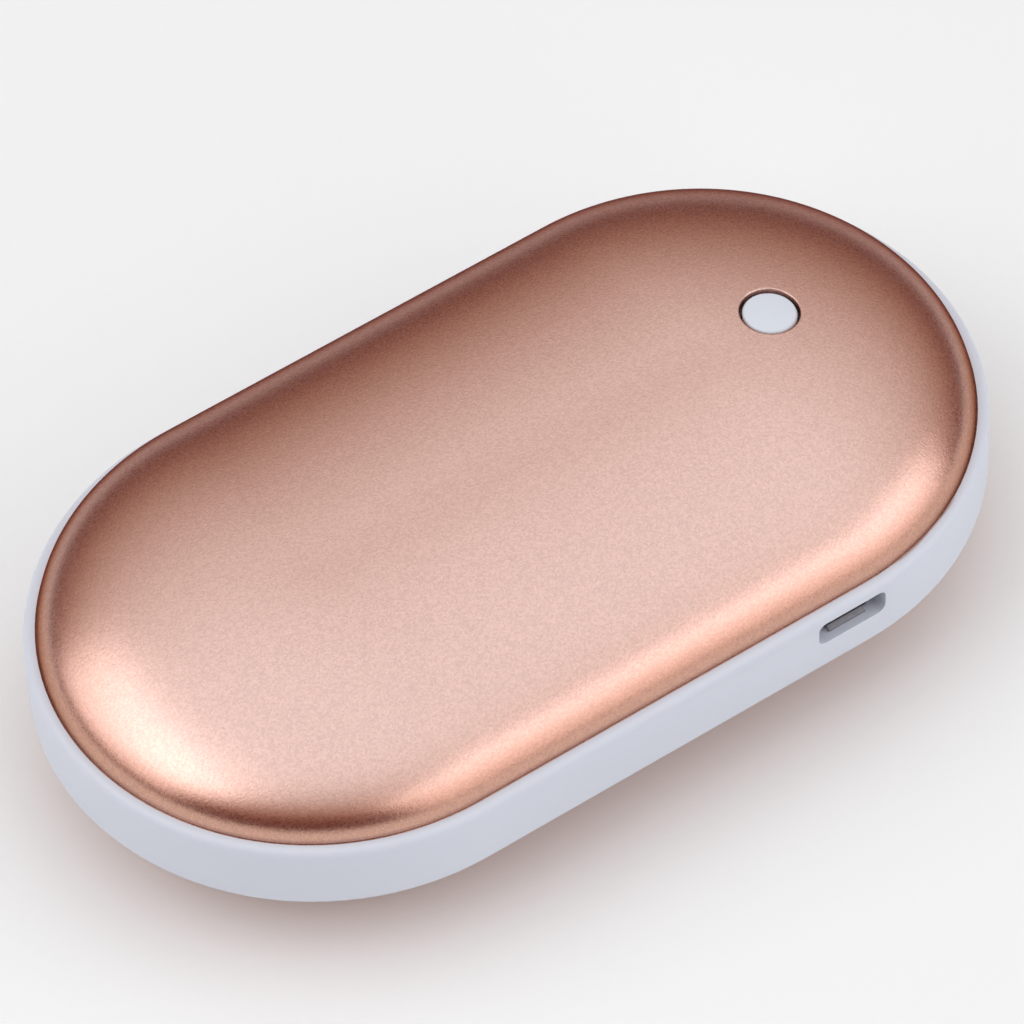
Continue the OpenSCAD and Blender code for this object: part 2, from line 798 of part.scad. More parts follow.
module cell_washer(side) {
    base = cell_length - contact_height + 2 * sleeve_gap + sleeve_wall;
    color([0.9, 0.88, 0.8]) at_cell(side) translate([0, 0, base]) difference() {
        cylinder(r = cell_radius - seat_gap, h = washer_thickness);
        translate([0, 0, -cut_over])
            cylinder(d = washer_hole_diameter, h = washer_thickness + 2 * cut_over);
    }
}

// Nickel link across both cells, slotted over each weld
module link_strip() {
    width = cell_pitch + 2 * strip_overhang;
    difference() {
        translate([0, 0, middle_z - strip_height / 2]) slab([strip_thickness, width, strip_height]);
        for (side = [-1, 1]) {
            translate([0, side * cell_pitch / 2, middle_z - strip_slot_length / 2])
                slab([strip_thickness + cut_over, strip_slot_width, strip_slot_length]);
        }
    }
}

function plus_strip_x() = cell_end_x + strip_gap + strip_thickness / 2;
function minus_strip_x() = cell_start_x - sleeve_wall - 2 * sleeve_gap - strip_thickness / 2;

module plus_strip() {
    color([0.8, 0.8, 0.78]) translate([plus_strip_x(), 0, 0]) link_strip();
}

module minus_strip() {
    color([0.8, 0.8, 0.78]) translate([minus_strip_x(), 0, 0]) link_strip();
}

// Moulded plate round both cells, whose ears drop into the band's channels
module cell_bracket(x) {
    reach = ear_reach(x);
    color([0.32, 0.33, 0.35]) translate([x - bracket_thickness / 2, 0, middle_z]) rotate([90, 0, 90])
        linear_extrude(height = bracket_thickness) difference() {
            union() {
                for (side = [-1, 1]) {
                    translate([side * cell_pitch / 2, 0]) circle(r = sleeve_radius + bracket_rim);
                }
                square([2 * reach, 2 * ear_half_height], center = true);
            }
            for (side = [-1, 1]) {
                translate([side * cell_pitch / 2, 0]) circle(r = sleeve_radius + bracket_gap);
            }
        }
}

// Arch between two depths under a shell's outer face, cut off at a half width
function arch_edge(depth, half_width) =
    let (
        run = shell_half_run() - depth,
        end = asin((half_width - crown_half_width) / run),
        half = quarter_arch(crown_half_width, run, dome_rise - depth, 0, end, film_arc_steps)
    )
    concat(reversed([for (p = half) [-p[0], p[1]]]), half);

module arch_section(near_depth, far_depth, half_width) {
    translate([0, band_top_z])
        polygon(concat(arch_edge(near_depth, half_width), reversed(arch_edge(far_depth, half_width))));
}

module along_x(start, end) {
    translate([start, 0, 0]) rotate([90, 0, 90]) linear_extrude(height = end - start) children();
}

module heater_film() {
    along_x(-film_half_length, film_half_length)
        arch_section(film_depth, film_depth + film_thickness, film_half_width);
}

// Serpentine seen from above; both of its ends lie on the button side
module track_outline() {
    reach = film_half_length - track_margin;
    spread = film_half_width - track_margin;
    pitch = 2 * (spread - track_width / 2) / (track_runs - 1);
    for (run = [0 : track_runs - 1]) {
        translate([-reach, -spread + run * pitch]) square([2 * reach, track_width]);
    }
    for (turn = [0 : track_runs - 2]) {
        x = turn % 2 == 0 ? -reach : reach - track_width;
        translate([x, -spread + turn * pitch]) square([track_width, pitch + track_width]);
    }
}

module heater_track() {
    intersection() {
        along_x(-film_half_length, film_half_length)
            arch_section(track_depth, track_depth + track_thickness, film_half_width);
        translate([0, 0, band_top_z]) linear_extrude(height = dome_rise) track_outline();
    }
}

module foam_pad() {
    difference() {
        along_x(-film_half_length, right_bracket_x - foam_to_bracket)
            arch_section(foam_depth, foam_depth + foam_thickness, foam_half_width);
        for (side = [-1, 1]) {
            at_cell(side) cylinder(r = sleeve_radius + foam_gap, h = cell_length);
        }
    }
}

module top_heater_film() {
    color([0.85, 0.55, 0.2]) heater_film();
}

module bottom_heater_film() {
    color([0.85, 0.55, 0.2]) turned_over() heater_film();
}

module top_heater_track() {
    color([0.65, 0.6, 0.55]) heater_track();
}

module bottom_heater_track() {
    color([0.65, 0.6, 0.55]) turned_over() heater_track();
}

module top_foam_pad() {
    color([0.93, 0.93, 0.9]) foam_pad();
}

module bottom_foam_pad() {
    color([0.93, 0.93, 0.9]) turned_over() foam_pad();
}

function unit(v) = v / norm(v);
function smooth_point(a, b, c, d, t) =
    0.5 * (2 * b + (c - a) * t + (2 * a - 5 * b + 4 * c - d) * pow(t, 2)
    + (3 * b - a - 3 * c + d) * pow(t, 3));
// Smooth curve through the points of a route
function smooth_route(route) =
    let (last = len(route) - 1)
    concat(
        [for (i = [0 : last - 1], s = [0 : wire_smooth_steps - 1])
            smooth_point(route[max(i - 1, 0)], route[i], route[i + 1], route[min(i + 2, last)],
                s / wire_smooth_steps)],
        [route[last]]
    );

// Round wire swept along a route that nowhere runs straight across Y
module wire(route, radius) {
    path = smooth_route(route);
    last = len(path) - 1;
    points = [for (i = [0 : last])
        let (
            ahead = unit(path[min(i + 1, last)] - path[max(i - 1, 0)]),
            side = unit([0, 1, 0] - ahead[1] * ahead),
            up = cross(ahead, side)
        )
        for (k = [0 : wire_sides - 1])
            let (turn = 360 * k / wire_sides)
            path[i] + radius * (cos(turn) * side + sin(turn) * up)];
    walls = [for (i = [0 : last - 1], k = [0 : wire_sides - 1])
        let (
            a = i * wire_sides + k,
            b = i * wire_sides + (k + 1) % wire_sides
        )
        each [[a, a + wire_sides, b + wire_sides], [a, b + wire_sides, b]]];
    first_cap = [for (k = [0 : wire_sides - 1]) k];
    last_cap = [for (k = [wire_sides - 1 : -1 : 0]) last * wire_sides + k];
    polyhedron(points = points, faces = concat(walls, [first_cap, last_cap]));
}

// From one end of the track, over the end of the cell and down to the board
module heater_wire(side, pad_z) {
    y = side * (film_half_width - track_margin - track_width / 2);
    top_z = under_shell_z(abs(y), track_depth + track_thickness + seat_gap) - wire_radius;
    start_x = film_half_length - track_margin;
    drop_x = cell_end_x + 2 * wire_radius;
    middle_y = (y + side * heater_pad_y) / 2;
    wire([
        [start_x, y, top_z],
        [(start_x + cell_end_x) / 2, y, top_z],
        [cell_end_x, y, top_z - wire_radius],
        [drop_x + wire_radius, middle_y, (top_z + pad_z) / 2 + 2 * wire_radius],
        [heater_pad_x, side * heater_pad_y, pad_z + 4 * wire_radius],
        [heater_pad_x, side * heater_pad_y, pad_z]
    ], wire_radius);
}

module top_heater_wire(side) {
    color(side < 0 ? [0.75, 0.1, 0.1] : [0.95, 0.95, 0.93]) heater_wire(side, board_top_z + solder_gap);
}

module bottom_heater_wire(side) {
    color(side < 0 ? [0.75, 0.1, 0.1] : [0.95, 0.95, 0.93]) turned_over()
        heater_wire(side, case_height - board_bottom_z + solder_gap);
}

module plus_wire() {
    start_x = plus_strip_x() + strip_thickness / 2 + solder_gap + wire_radius;
    rise_z = board_top_z + 5 * wire_radius;
    color([0.8, 0.1, 0.1]) wire([
        [start_x, plus_pad_y, middle_z],
        [start_x, plus_pad_y, rise_z],
        [(start_x + battery_pad_x) / 2, plus_pad_y, rise_z + 2 * wire_radius],
        [battery_pad_x + wire_radius, plus_pad_y, rise_z],
        [battery_pad_x + wire_radius, plus_pad_y, board_top_z + solder_gap]
    ], wire_radius);
}

// Runs back along the groove over the two cells
module minus_wire() {
    start_x = minus_strip_x() - strip_thickness / 2 - solder_gap - wire_radius;
    groove_z = middle_z + groove_rise;
    color([0.08, 0.08, 0.09]) wire([
        [start_x, 0, middle_z],
        [start_x, 0, groove_z - 3 * wire_radius],
        [start_x + 3 * wire_radius, 0, groove_z],
        [0, 0, groove_z],
        [cell_end_x - 2 * wire_radius, 0, groove_z],
        [battery_pad_x - wire_radius, 0, groove_z - 3 * wire_radius],
        [battery_pad_x, 0, board_top_z + 4 * wire_radius],
        [battery_pad_x, 0, board_top_z + solder_gap]
    ], wire_radius);
}

// Glass bead against the top film, with its two leads down to the board
module thermistor() {
    bead_z = under_shell_z(abs(thermistor_y), track_depth + track_thickness + seat_gap) - thermistor_radius;
    color([0.15, 0.15, 0.16]) translate([thermistor_x, thermistor_y, bead_z])
        sphere(r = thermistor_radius);
    color([0.2, 0.2, 0.2]) for (side = [-1, 1]) {
        y = thermistor_y + side * lead_spacing / 2;
        wire([
            [thermistor_x, y, bead_z],
            [cell_end_x - 2 * thermistor_radius, y, bead_z],
            [lead_pad_x - thermistor_radius, y, bead_z - 4 * thermistor_radius],
            [lead_pad_x, y, board_top_z + 4 * thermistor_radius],
            [lead_pad_x, y, board_top_z + solder_gap]
        ], lead_radius);
    }
}

module on_board(shares) {
    translate([board_edge_x + shares[0] * board_length, shares[1] * board_radius, board_top_z])
        children();
}

// Shielded coil: a square frame with cut corners round a drum core
module power_inductor() {
    half = inductor_size[0] / 2;
    cut = half - inductor_corner;
    color([0.2, 0.2, 0.21]) on_board(inductor_place_shares) {
        difference() {
            linear_extrude(height = inductor_size[2]) polygon([
                [cut, -half], [half, -cut], [half, cut], [cut, half],
                [-cut, half], [-half, cut], [-half, -cut], [-cut, -half]
            ]);
            translate([0, 0, inductor_size[2] - inductor_core_rise])
                cylinder(d = inductor_core_diameter + 2 * inductor_core_rise, h = cut_over);
        }
        translate([0, 0, inductor_size[2] - inductor_core_rise - seat_gap])
            cylinder(d = inductor_core_diameter, h = inductor_core_rise + seat_gap);
    }
}

// Moulded chip with a row of bent legs along each long side
module chip(size, legs) {
    color([0.1, 0.1, 0.11]) translate([0, 0, chip_standoff]) slab(size);
    color([0.8, 0.8, 0.8]) for (side = [0, 1], index = [0 : legs - 1]) {
        x = (index - (legs - 1) / 2) * chip_leg_pitch;
        mirror([0, side, 0]) translate([x, 0, 0]) {
            translate([-chip_leg_width / 2, size[1] / 2 - chip_leg_thickness, size[2] / 2])
                cube([chip_leg_width, 2 * chip_leg_thickness + chip_leg_reach / 4, chip_leg_thickness]);
            translate([-chip_leg_width / 2, size[1] / 2 + chip_leg_reach / 4, 0])
                cube([chip_leg_width, chip_leg_thickness, size[2] / 2 + chip_leg_thickness]);
            translate([-chip_leg_width / 2, size[1] / 2 + chip_leg_reach / 4, 0])
                cube([chip_leg_width, chip_leg_reach, chip_leg_thickness]);
        }
    }
}

module charger_chip() {
    on_board(charger_place_shares) chip(charger_size, charger_legs);
}

module controller_chip() {
    on_board(controller_place_shares) rotate([0, 0, 90]) chip(controller_size, controller_legs);
}

module heater_transistor(index) {
    on_board(transistor_place_shares[index]) {
        color([0.1, 0.1, 0.11]) slab(transistor_size);
        color([0.8, 0.8, 0.8]) translate([0, (transistor_size[1] + transistor_tab[1]) / 2, 0])
            slab(transistor_tab);
        color([0.8, 0.8, 0.8]) for (side = [-1, 1]) {
            translate([side * transistor_leg_spacing / 2, -(transistor_size[1] + transistor_leg[1]) / 2, 0])
                slab(transistor_leg);
        }
    }
}

// Small two-ended chip part: a body with a metal cap on each end
module two_ended_chip(size, body_colour) {
    cap = size[0] * chip_cap_share;
    color(body_colour) slab([size[0] - 2 * cap, size[1], size[2]]);
    color([0.82, 0.82, 0.82]) for (side = [-1, 1]) {
        translate([side * (size[0] - cap) / 2, 0, 0]) slab([cap, size[1], size[2]]);
    }
}

module chip_capacitor(index) {
    on_board(capacitor_place_shares[index]) two_ended_chip(capacitor_size, [0.65, 0.52, 0.38]);
}

module chip_resistor(index) {
    on_board(resistor_place_shares[index]) two_ended_chip(resistor_size, [0.08, 0.08, 0.09]);
}

// Lamp beside the switch that lights the button from below
module indicator_lamp(side) {
    base = lamp_size[2] * lamp_base_share;
    x = button_x + (switch_size + lamp_size[0]) / 2 + lamp_gap;
    translate([x, side * lamp_spacing / 2, board_top_z]) {
        color([0.95, 0.95, 0.92]) slab([lamp_size[0], lamp_size[1], base]);
        color([0.98, 0.9, 0.6]) translate([0, 0, base])
            slab([lamp_size[0] / 2, lamp_size[1], lamp_size[2] - base]);
    }
}

top_shell();
bottom_shell();
side_band();
top_liner();
bottom_liner();
power_button();
button_guide();
switch_body();
switch_cover();
switch_plunger();
switch_dome();
switch_legs();
circuit_board();
board_screw(0);  // board_screw_1
board_screw(1);  // board_screw_2
board_screw(2);  // board_screw_3
port_shell();
port_tongue();
port_contacts();
battery_cell(-1);  // battery_cell_front
battery_cell(1);  // battery_cell_rear
cell_sleeve(-1);  // cell_sleeve_front
cell_sleeve(1);  // cell_sleeve_rear
cell_washer(-1);  // cell_washer_front
cell_washer(1);  // cell_washer_rear
plus_strip();
minus_strip();
cell_bracket(left_bracket_x);  // cell_bracket_left
cell_bracket(right_bracket_x);  // cell_bracket_right
top_heater_film();
bottom_heater_film();
top_heater_track();
bottom_heater_track();
top_foam_pad();
bottom_foam_pad();
top_heater_wire(-1);  // top_heater_wire_front
top_heater_wire(1);  // top_heater_wire_rear
bottom_heater_wire(-1);  // bottom_heater_wire_front
bottom_heater_wire(1);  // bottom_heater_wire_rear
plus_wire();
minus_wire();
thermistor();
power_inductor();
charger_chip();
controller_chip();
heater_transistor(0);  // heater_transistor_1
heater_transistor(1);  // heater_transistor_2
chip_capacitor(0);  // chip_capacitor_1
chip_capacitor(1);  // chip_capacitor_2
chip_capacitor(2);  // chip_capacitor_3
chip_resistor(0);  // chip_resistor_1
chip_resistor(1);  // chip_resistor_2
chip_resistor(2);  // chip_resistor_3
chip_resistor(3);  // chip_resistor_4
indicator_lamp(-1);  // indicator_lamp_1
indicator_lamp(1);  // indicator_lamp_2
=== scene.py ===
import math

import bmesh
import bpy
from mathutils import Matrix, Vector


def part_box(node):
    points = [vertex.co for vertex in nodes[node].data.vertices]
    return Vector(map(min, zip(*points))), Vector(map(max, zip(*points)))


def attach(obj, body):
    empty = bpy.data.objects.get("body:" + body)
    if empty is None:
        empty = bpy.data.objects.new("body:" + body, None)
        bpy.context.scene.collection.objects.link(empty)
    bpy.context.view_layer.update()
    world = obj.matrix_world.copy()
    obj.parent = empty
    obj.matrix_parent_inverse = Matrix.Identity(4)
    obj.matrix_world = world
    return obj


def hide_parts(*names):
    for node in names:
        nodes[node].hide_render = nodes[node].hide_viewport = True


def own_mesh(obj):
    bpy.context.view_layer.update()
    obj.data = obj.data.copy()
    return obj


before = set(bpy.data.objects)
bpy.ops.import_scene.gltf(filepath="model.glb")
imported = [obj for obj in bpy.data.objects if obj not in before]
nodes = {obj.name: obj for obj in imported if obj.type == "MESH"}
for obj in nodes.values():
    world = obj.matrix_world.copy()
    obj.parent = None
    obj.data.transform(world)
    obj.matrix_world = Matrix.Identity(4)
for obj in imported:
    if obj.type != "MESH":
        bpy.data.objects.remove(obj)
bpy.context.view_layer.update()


# Camera: a long lens on the socket's side of the case, looking down on it with a slight lean.
# Its place and its lens were fitted to the outline of the case.
def add_object(name, data):
    """Puts a mesh, a lamp or a camera in the scene as an object."""
    made = bpy.data.objects.new(name, data)
    bpy.context.scene.collection.objects.link(made)
    return made


view_angle = math.radians(-32.901)
view_height = math.radians(50.954)
lean = math.radians(-2.328)
camera_place = (-0.278532, -0.430790, 0.649552)
backward = Vector((
    math.sin(view_angle) * math.cos(view_height),
    -math.cos(view_angle) * math.cos(view_height),
    math.sin(view_height)
))
level_right = Vector((math.cos(view_angle), math.sin(view_angle), 0.0))
level_up = backward.cross(level_right)
camera_right = level_right * math.cos(lean) + level_up * math.sin(lean)
camera_up = level_up * math.cos(lean) - level_right * math.sin(lean)
camera_turn = Matrix((camera_right, camera_up, backward)).transposed().to_4x4()
lens = bpy.data.cameras.new("camera")
lens.sensor_width = 36.0
lens.lens = 286.06
lens.clip_start = 0.05
lens.clip_end = 20.0
camera = add_object("camera", lens)
camera.matrix_world = Matrix.Translation(camera_place) @ camera_turn
bpy.context.scene.camera = camera


# Studio: a broad table of matt white board in a room that fades from a dark warm horizon to a white ceiling.
# Soft lights stand at the left, at the near left and at the right of the case. The room is dimmer behind the
# camera, and its warmth is kept off matt things, so that white stays white.
def add_node(tree, kind, values=None, **settings):
    """Adds a node, sets it up, and puts values or other nodes' sockets into its inputs."""
    node = tree.nodes.new(kind)
    for key, value in settings.items():
        setattr(node, key, value)
    for key, value in (values or {}).items():
        if isinstance(value, bpy.types.NodeSocket):
            tree.links.new(value, node.inputs[key])
        else:
            node.inputs[key].default_value = value
    return node


def reckon(tree, operation, *values):
    """One step of arithmetic on numbers or sockets."""
    return add_node(tree, "ShaderNodeMath", dict(enumerate(values)), operation=operation).outputs[0]


def noise(tree, place, scale, detail=2.0):
    """A fine random pattern; its scale is in repeats a metre."""
    return add_node(tree, "ShaderNodeTexNoise", {"Vector": place, "Scale": scale, "Detail": detail})


def blend(tree, share, first, second):
    """Blend of two colours or colour sockets: the first where the share is 0, the second where it is 1."""
    # The Mix node keeps its two colours in inputs 6 and 7, and their blend in output 2.
    values = {"Factor": share}
    for number, colour in ((6, first), (7, second)):
        values[number] = colour if isinstance(colour, bpy.types.NodeSocket) else (*colour, 1.0)
    return add_node(tree, "ShaderNodeMix", values, data_type="RGBA").outputs[2]


table_half = 3.0
board_shade = (0.95, 0.95, 0.955)
board_white = (0.965, 0.965, 0.97)
table_board = bpy.data.materials.new("table_board")
table_board.use_nodes = True
tree = table_board.node_tree
tree.nodes.clear()
place = add_node(tree, "ShaderNodeTexCoord").outputs["Object"]
fibres = noise(tree, place, scale=900.0, detail=3.0).outputs["Fac"]
paint = blend(tree, fibres, board_shade, board_white)
matt = add_node(tree, "ShaderNodeBsdfDiffuse", {"Color": paint})
add_node(tree, "ShaderNodeOutputMaterial", {"Surface": matt.outputs["BSDF"]})
table_mesh = bpy.data.meshes.new("table")
table_corners = [(x * table_half, y * table_half, 0.0) for x, y in ((-1, -1), (1, -1), (1, 1), (-1, 1))]
table_mesh.from_pydata(table_corners, [], [(0, 1, 2, 3)])
table_mesh.materials.append(table_board)
table = add_object("table", table_mesh)

light_distance = 0.9


def soft_light(name, turn, height, width, depth, power):
    """A flat soft light that faces the case: turn 0 is beyond it, 90 at its right, 180 at the camera."""
    lamp = bpy.data.lights.new(name, "AREA")
    lamp.shape = "RECTANGLE"
    lamp.size = width
    lamp.size_y = depth
    lamp.energy = power
    heading = math.pi / 2 + view_angle - math.radians(turn)
    climb = math.radians(height)
    flat = math.cos(climb)
    outward = Vector((math.cos(heading) * flat, math.sin(heading) * flat, math.sin(climb)))
    holder = add_object(name, lamp)
    holder.location = outward * light_distance
    holder.rotation_euler = outward.to_track_quat("Z", "Y").to_euler()


soft_light("left_light", turn=-99.0, height=34.0, width=1.0, depth=0.8, power=2.6)
soft_light("near_left_light", turn=-124.0, height=48.0, width=0.55, depth=0.6, power=0.35)
soft_light("right_light", turn=116.0, height=26.0, width=1.3, depth=0.75, power=3.4)

dimmer_behind = -0.22
air_stops = [
    (0.0, (0.10, 0.0, 0.0)),
    (0.15, (0.14, 0.01, 0.0)),
    (0.35, (0.36, 0.19, 0.13)),
    (0.5, (0.50, 0.35, 0.28)),
    (0.7, (0.80, 0.74, 0.71)),
    (0.9, (1.08, 1.12, 1.15))
]
world = bpy.data.worlds.new("studio_air")
world.use_nodes = True
tree = world.node_tree
tree.nodes.clear()
direction = add_node(tree, "ShaderNodeTexCoord").outputs["Generated"]
height = add_node(tree, "ShaderNodeSeparateXYZ", {"Vector": direction}).outputs["Z"]
toward_camera = (math.sin(view_angle), -math.cos(view_angle), 0.0)
facing = add_node(tree, "ShaderNodeVectorMath", {0: direction, 1: toward_camera}, operation="DOT_PRODUCT")
behind_camera = reckon(tree, "MAXIMUM", facing.outputs["Value"], 0.0)
level = reckon(tree, "MULTIPLY_ADD", behind_camera, dimmer_behind, height)
fade = add_node(tree, "ShaderNodeValToRGB", {"Fac": level})
while len(fade.color_ramp.elements) < len(air_stops):
    fade.color_ramp.elements.new(1.0)
for stop, (stop_level, stop_colour) in zip(fade.color_ramp.elements, air_stops):
    stop.position = stop_level
    stop.color = (*stop_colour, 1.0)
grey_air = add_node(tree, "ShaderNodeRGBToBW", {"Color": fade.outputs["Color"]})
matt_light = add_node(tree, "ShaderNodeLightPath").outputs["Is Diffuse Ray"]
air_colour = blend(tree, matt_light, fade.outputs["Color"], grey_air.outputs[0])
air = add_node(tree, "ShaderNodeBackground", {"Color": air_colour, "Strength": 1.0})
add_node(tree, "ShaderNodeOutputWorld", {"Surface": air.outputs["Background"]})
bpy.context.scene.world = world
bpy.context.scene.view_settings.view_transform = "Standard"


# Shells: two domes pressed from 1 mm aluminium sheet, bead-blasted and anodised rose gold, with painted shade
# low down that makes them darker and redder towards the rim.
# Each stands in a seat in the side band, behind a thin open reveal that its slightly flared foot narrows.
# The top one has a round hole with a broken edge for the button.
straight_half = 0.0231
middle_height = 0.0132
shell_radius = 0.0281
crown_half = 0.0024
rise = 0.0091
edge_height = 0.0173
seat_depth = 0.0006
sheet = 0.001
foot_start = 0.00002
foot_flare = 0.00009
shell_weld = 2e-7
sliver = 1e-8
shell_crease = math.radians(35.0)


def unrolled(x, y, radius):
    """Distance along the case's outline, and distance from its middle line, of a point seen from above."""
    middle = min(max(x, -straight_half), straight_half)
    across = math.hypot(x - middle, y)
    if x > straight_half:
        return 2 * straight_half + (math.atan2(y, x - middle) + math.pi / 2) * radius, across
    if x < -straight_half:
        angle = math.atan2(y, x - middle) % (2 * math.pi)
        return 4 * straight_half + math.pi * radius + (angle - math.pi / 2) * radius, across
    if y < 0:
        return x + straight_half, across
    return 3 * straight_half + math.pi * radius - x, across


def round_the_case(radius):
    """Geometry tree that bends a flat strip (along, out, up) round the racetrack outline of the case."""
    tree = bpy.data.node_groups.new("round_the_case", "GeometryNodeTree")
    face = tree.interface
    face.new_socket("Strip", in_out="INPUT", socket_type="NodeSocketGeometry")
    sizes = {"Straight Half": straight_half, "Outline Radius": radius, "Weld Distance": shell_weld}
    for name, value in sizes.items():
        face.new_socket(name, in_out="INPUT", socket_type="NodeSocketFloat").default_value = value
    face.new_socket("Finish", in_out="INPUT", socket_type="NodeSocketMaterial")
    face.new_socket("Piece", in_out="OUTPUT", socket_type="NodeSocketGeometry")
    given = tree.nodes.new("NodeGroupInput").outputs
    half, bend = given["Straight Half"], given["Outline Radius"]
    flat_place = add_node(tree, "GeometryNodeInputPosition").outputs[0]
    along, out, up = add_node(tree, "ShaderNodeSeparateXYZ", {"Vector": flat_place}).outputs
    straight = reckon(tree, "MULTIPLY", half, 2.0)
    arc = reckon(tree, "MULTIPLY", bend, math.pi)
    stretches = []
    left = along
    for length in (straight, arc, straight, arc):
        limits = {"Value": left, "Min": 0.0, "Max": length}
        stretches.append(add_node(tree, "ShaderNodeClamp", limits).outputs[0])
        left = reckon(tree, "SUBTRACT", left, length)
    centre = reckon(tree, "SUBTRACT", reckon(tree, "SUBTRACT", stretches[0], half), stretches[2])
    turned = reckon(tree, "DIVIDE", reckon(tree, "ADD", stretches[1], stretches[3]), bend)
    heading = reckon(tree, "SUBTRACT", turned, math.pi / 2)
    x = reckon(tree, "MULTIPLY_ADD", out, reckon(tree, "COSINE", heading), centre)
    y = reckon(tree, "MULTIPLY", out, reckon(tree, "SINE", heading))
    place = add_node(tree, "ShaderNodeCombineXYZ", {"X": x, "Y": y, "Z": up}).outputs[0]
    bent = add_node(tree, "GeometryNodeSetPosition", {"Geometry": given["Strip"], "Position": place})
    seams = {"Geometry": bent.outputs[0], "Distance": given["Weld Distance"]}
    welded = add_node(tree, "GeometryNodeMergeByDistance", seams)
    smooth = add_node(tree, "GeometryNodeSetShadeSmooth", {"Geometry": welded.outputs[0]})
    real = add_node(tree, "GeometryNodeRealizeInstances", {"Geometry": smooth.outputs[0]})
    coat = {"Geometry": real.outputs[0], "Material": given["Finish"]}
    coated = add_node(tree, "GeometryNodeSetMaterial", coat)
    add_node(tree, "NodeGroupOutput", {"Piece": coated.outputs[0]})
    return tree


def weld(shape, distance):
    """Merges points that meet, and takes out faces that this leaves without a width."""
    bmesh.ops.remove_doubles(shape, verts=shape.verts, dist=distance)
    bmesh.ops.dissolve_degenerate(shape, edges=shape.edges, dist=sliver)


def grown(name, mesh, tree, inputs):
    """Runs a geometry tree on a mesh and keeps the result as a plain mesh with its faces outwards."""
    start = add_object(name + "_start", mesh)
    step = start.modifiers.new("shape", "NODES")
    step.node_group = tree
    for item in tree.interface.items_tree:
        if item.in_out == "INPUT" and item.name in inputs:
            step[item.identifier] = inputs[item.name]
    view_layer = bpy.context.evaluated_depsgraph_get()
    result = bpy.data.meshes.new_from_object(start.evaluated_get(view_layer), depsgraph=view_layer)
    bpy.data.objects.remove(start)
    shape = bmesh.new()
    shape.from_mesh(result)
    weld(shape, shell_weld)
    bmesh.ops.recalc_face_normals(shape, faces=shape.faces)
    shape.to_mesh(result)
    shape.free()
    result.set_sharp_from_angle(angle=shell_crease)
    result.name = name
    return add_object(name, result)


def begin_finish(name):
    """Begins a material; returns it with its tree, its main shader and its Object coordinates."""
    finish = bpy.data.materials.new(name)
    finish.use_nodes = True
    tree = finish.node_tree
    tree.nodes.clear()
    shader = add_node(tree, "ShaderNodeBsdfPrincipled")
    add_node(tree, "ShaderNodeOutputMaterial", {"Surface": shader.outputs["BSDF"]})
    place = add_node(tree, "ShaderNodeTexCoord").outputs["Object"]
    return finish, tree, shader, place


def spread(tree, value, low, high, start=0.0, end=1.0, **settings):
    """Carries a value's run from start to end over to a run from low to high."""
    values = {"Value": value, "From Min": start, "From Max": end, "To Min": low, "To Max": high}
    return add_node(tree, "ShaderNodeMapRange", values, **settings).outputs[0]


def scaled(tree, colour, factor):
    """A colour or a vector times a number."""
    return add_node(tree, "ShaderNodeVectorMath", {0: colour, "Scale": factor}, operation="SCALE").outputs[0]


def feed(shader, **sockets):
    """Links sockets to the shader's colour, roughness or metallic input."""
    inputs = {"colour": "Base Color", "roughness": "Roughness", "metallic": "Metallic"}
    for name, socket in sockets.items():
        shader.id_data.links.new(socket, shader.inputs[inputs[name]])


def emboss(tree, shader, height, strength, distance):
    """Fine relief in the shading alone."""
    bump = add_node(tree, "ShaderNodeBump", {"Height": height, "Strength": strength, "Distance": distance})
    tree.links.new(bump.outputs["Normal"], shader.inputs["Normal"])


crown_colour = (0.77, 0.52, 0.455)
# The second colour is painted shade: a darker, redder tone for the low rim of each dome.
painted_rim_shade_colour = (0.65, 0.375, 0.285)
grazing_tint = (0.10, 0.0, 0.0, 1.0)
painted_rim_shade_full, painted_rim_shade_end = 0.0058, 0.0080
speckle_low, speckle_high = 0.91, 1.09
grain_low, grain_high = 0.3, 0.7
shell_finish, tree, shader, place = begin_finish("shell_metal")
shader.inputs["Metallic"].default_value = 1.0
shader.inputs["Specular Tint"].default_value = grazing_tint
blast = noise(tree, place, scale=4000.0)
blast.inputs["Roughness"].default_value = 0.6
dimples = add_node(tree, "ShaderNodeTexVoronoi", {"Vector": place, "Scale": 5400.0})
glint = add_node(tree, "ShaderNodeSeparateColor", {"Color": dimples.outputs["Color"]}).outputs["Red"]
speckle = spread(tree, glint, low=speckle_low, high=speckle_high)
height = add_node(tree, "ShaderNodeSeparateXYZ", {"Vector": place}).outputs["Z"]
from_middle = reckon(tree, "ABSOLUTE", reckon(tree, "SUBTRACT", height, middle_height))
# Painted shade: near the middle height, low on each dome, the colour blends to the darker, redder one,
# standing in for the dark reflections at the rim.
painted_rim_shade = spread(
    tree, from_middle, low=1.0, high=0.0, start=painted_rim_shade_full, end=painted_rim_shade_end, interpolation_type="SMOOTHSTEP"
)
tone_with_painted_shade = blend(tree, painted_rim_shade, crown_colour, painted_rim_shade_colour)
feed(shader, colour=scaled(tree, tone_with_painted_shade, speckle))
pits = blast.outputs["Fac"]
feed(shader, roughness=spread(tree, pits, low=0.25, high=0.33, start=grain_low, end=grain_high))
emboss(tree, shader, pits, strength=0.65, distance=0.00002)

hole_place = 0.032
hole_radius = 0.0031
hole_bevel = 0.00012
hole_ring_shares = (0.3, 0.55, 0.75, 0.88, 0.96, 1.0)
bevel_ring_shares = (0.35, 0.7, 1.0)
straight_steps = 12
arc_steps = 128
dome_steps = 64

# The patch of the strip's grid that gives way to the button's hole.
first_cut_row, last_cut_row = 4, 20
cut_half_columns = 24
middle_column = straight_steps + arc_steps // 2
first_cut_column, last_cut_column = middle_column - cut_half_columns, middle_column + cut_half_columns

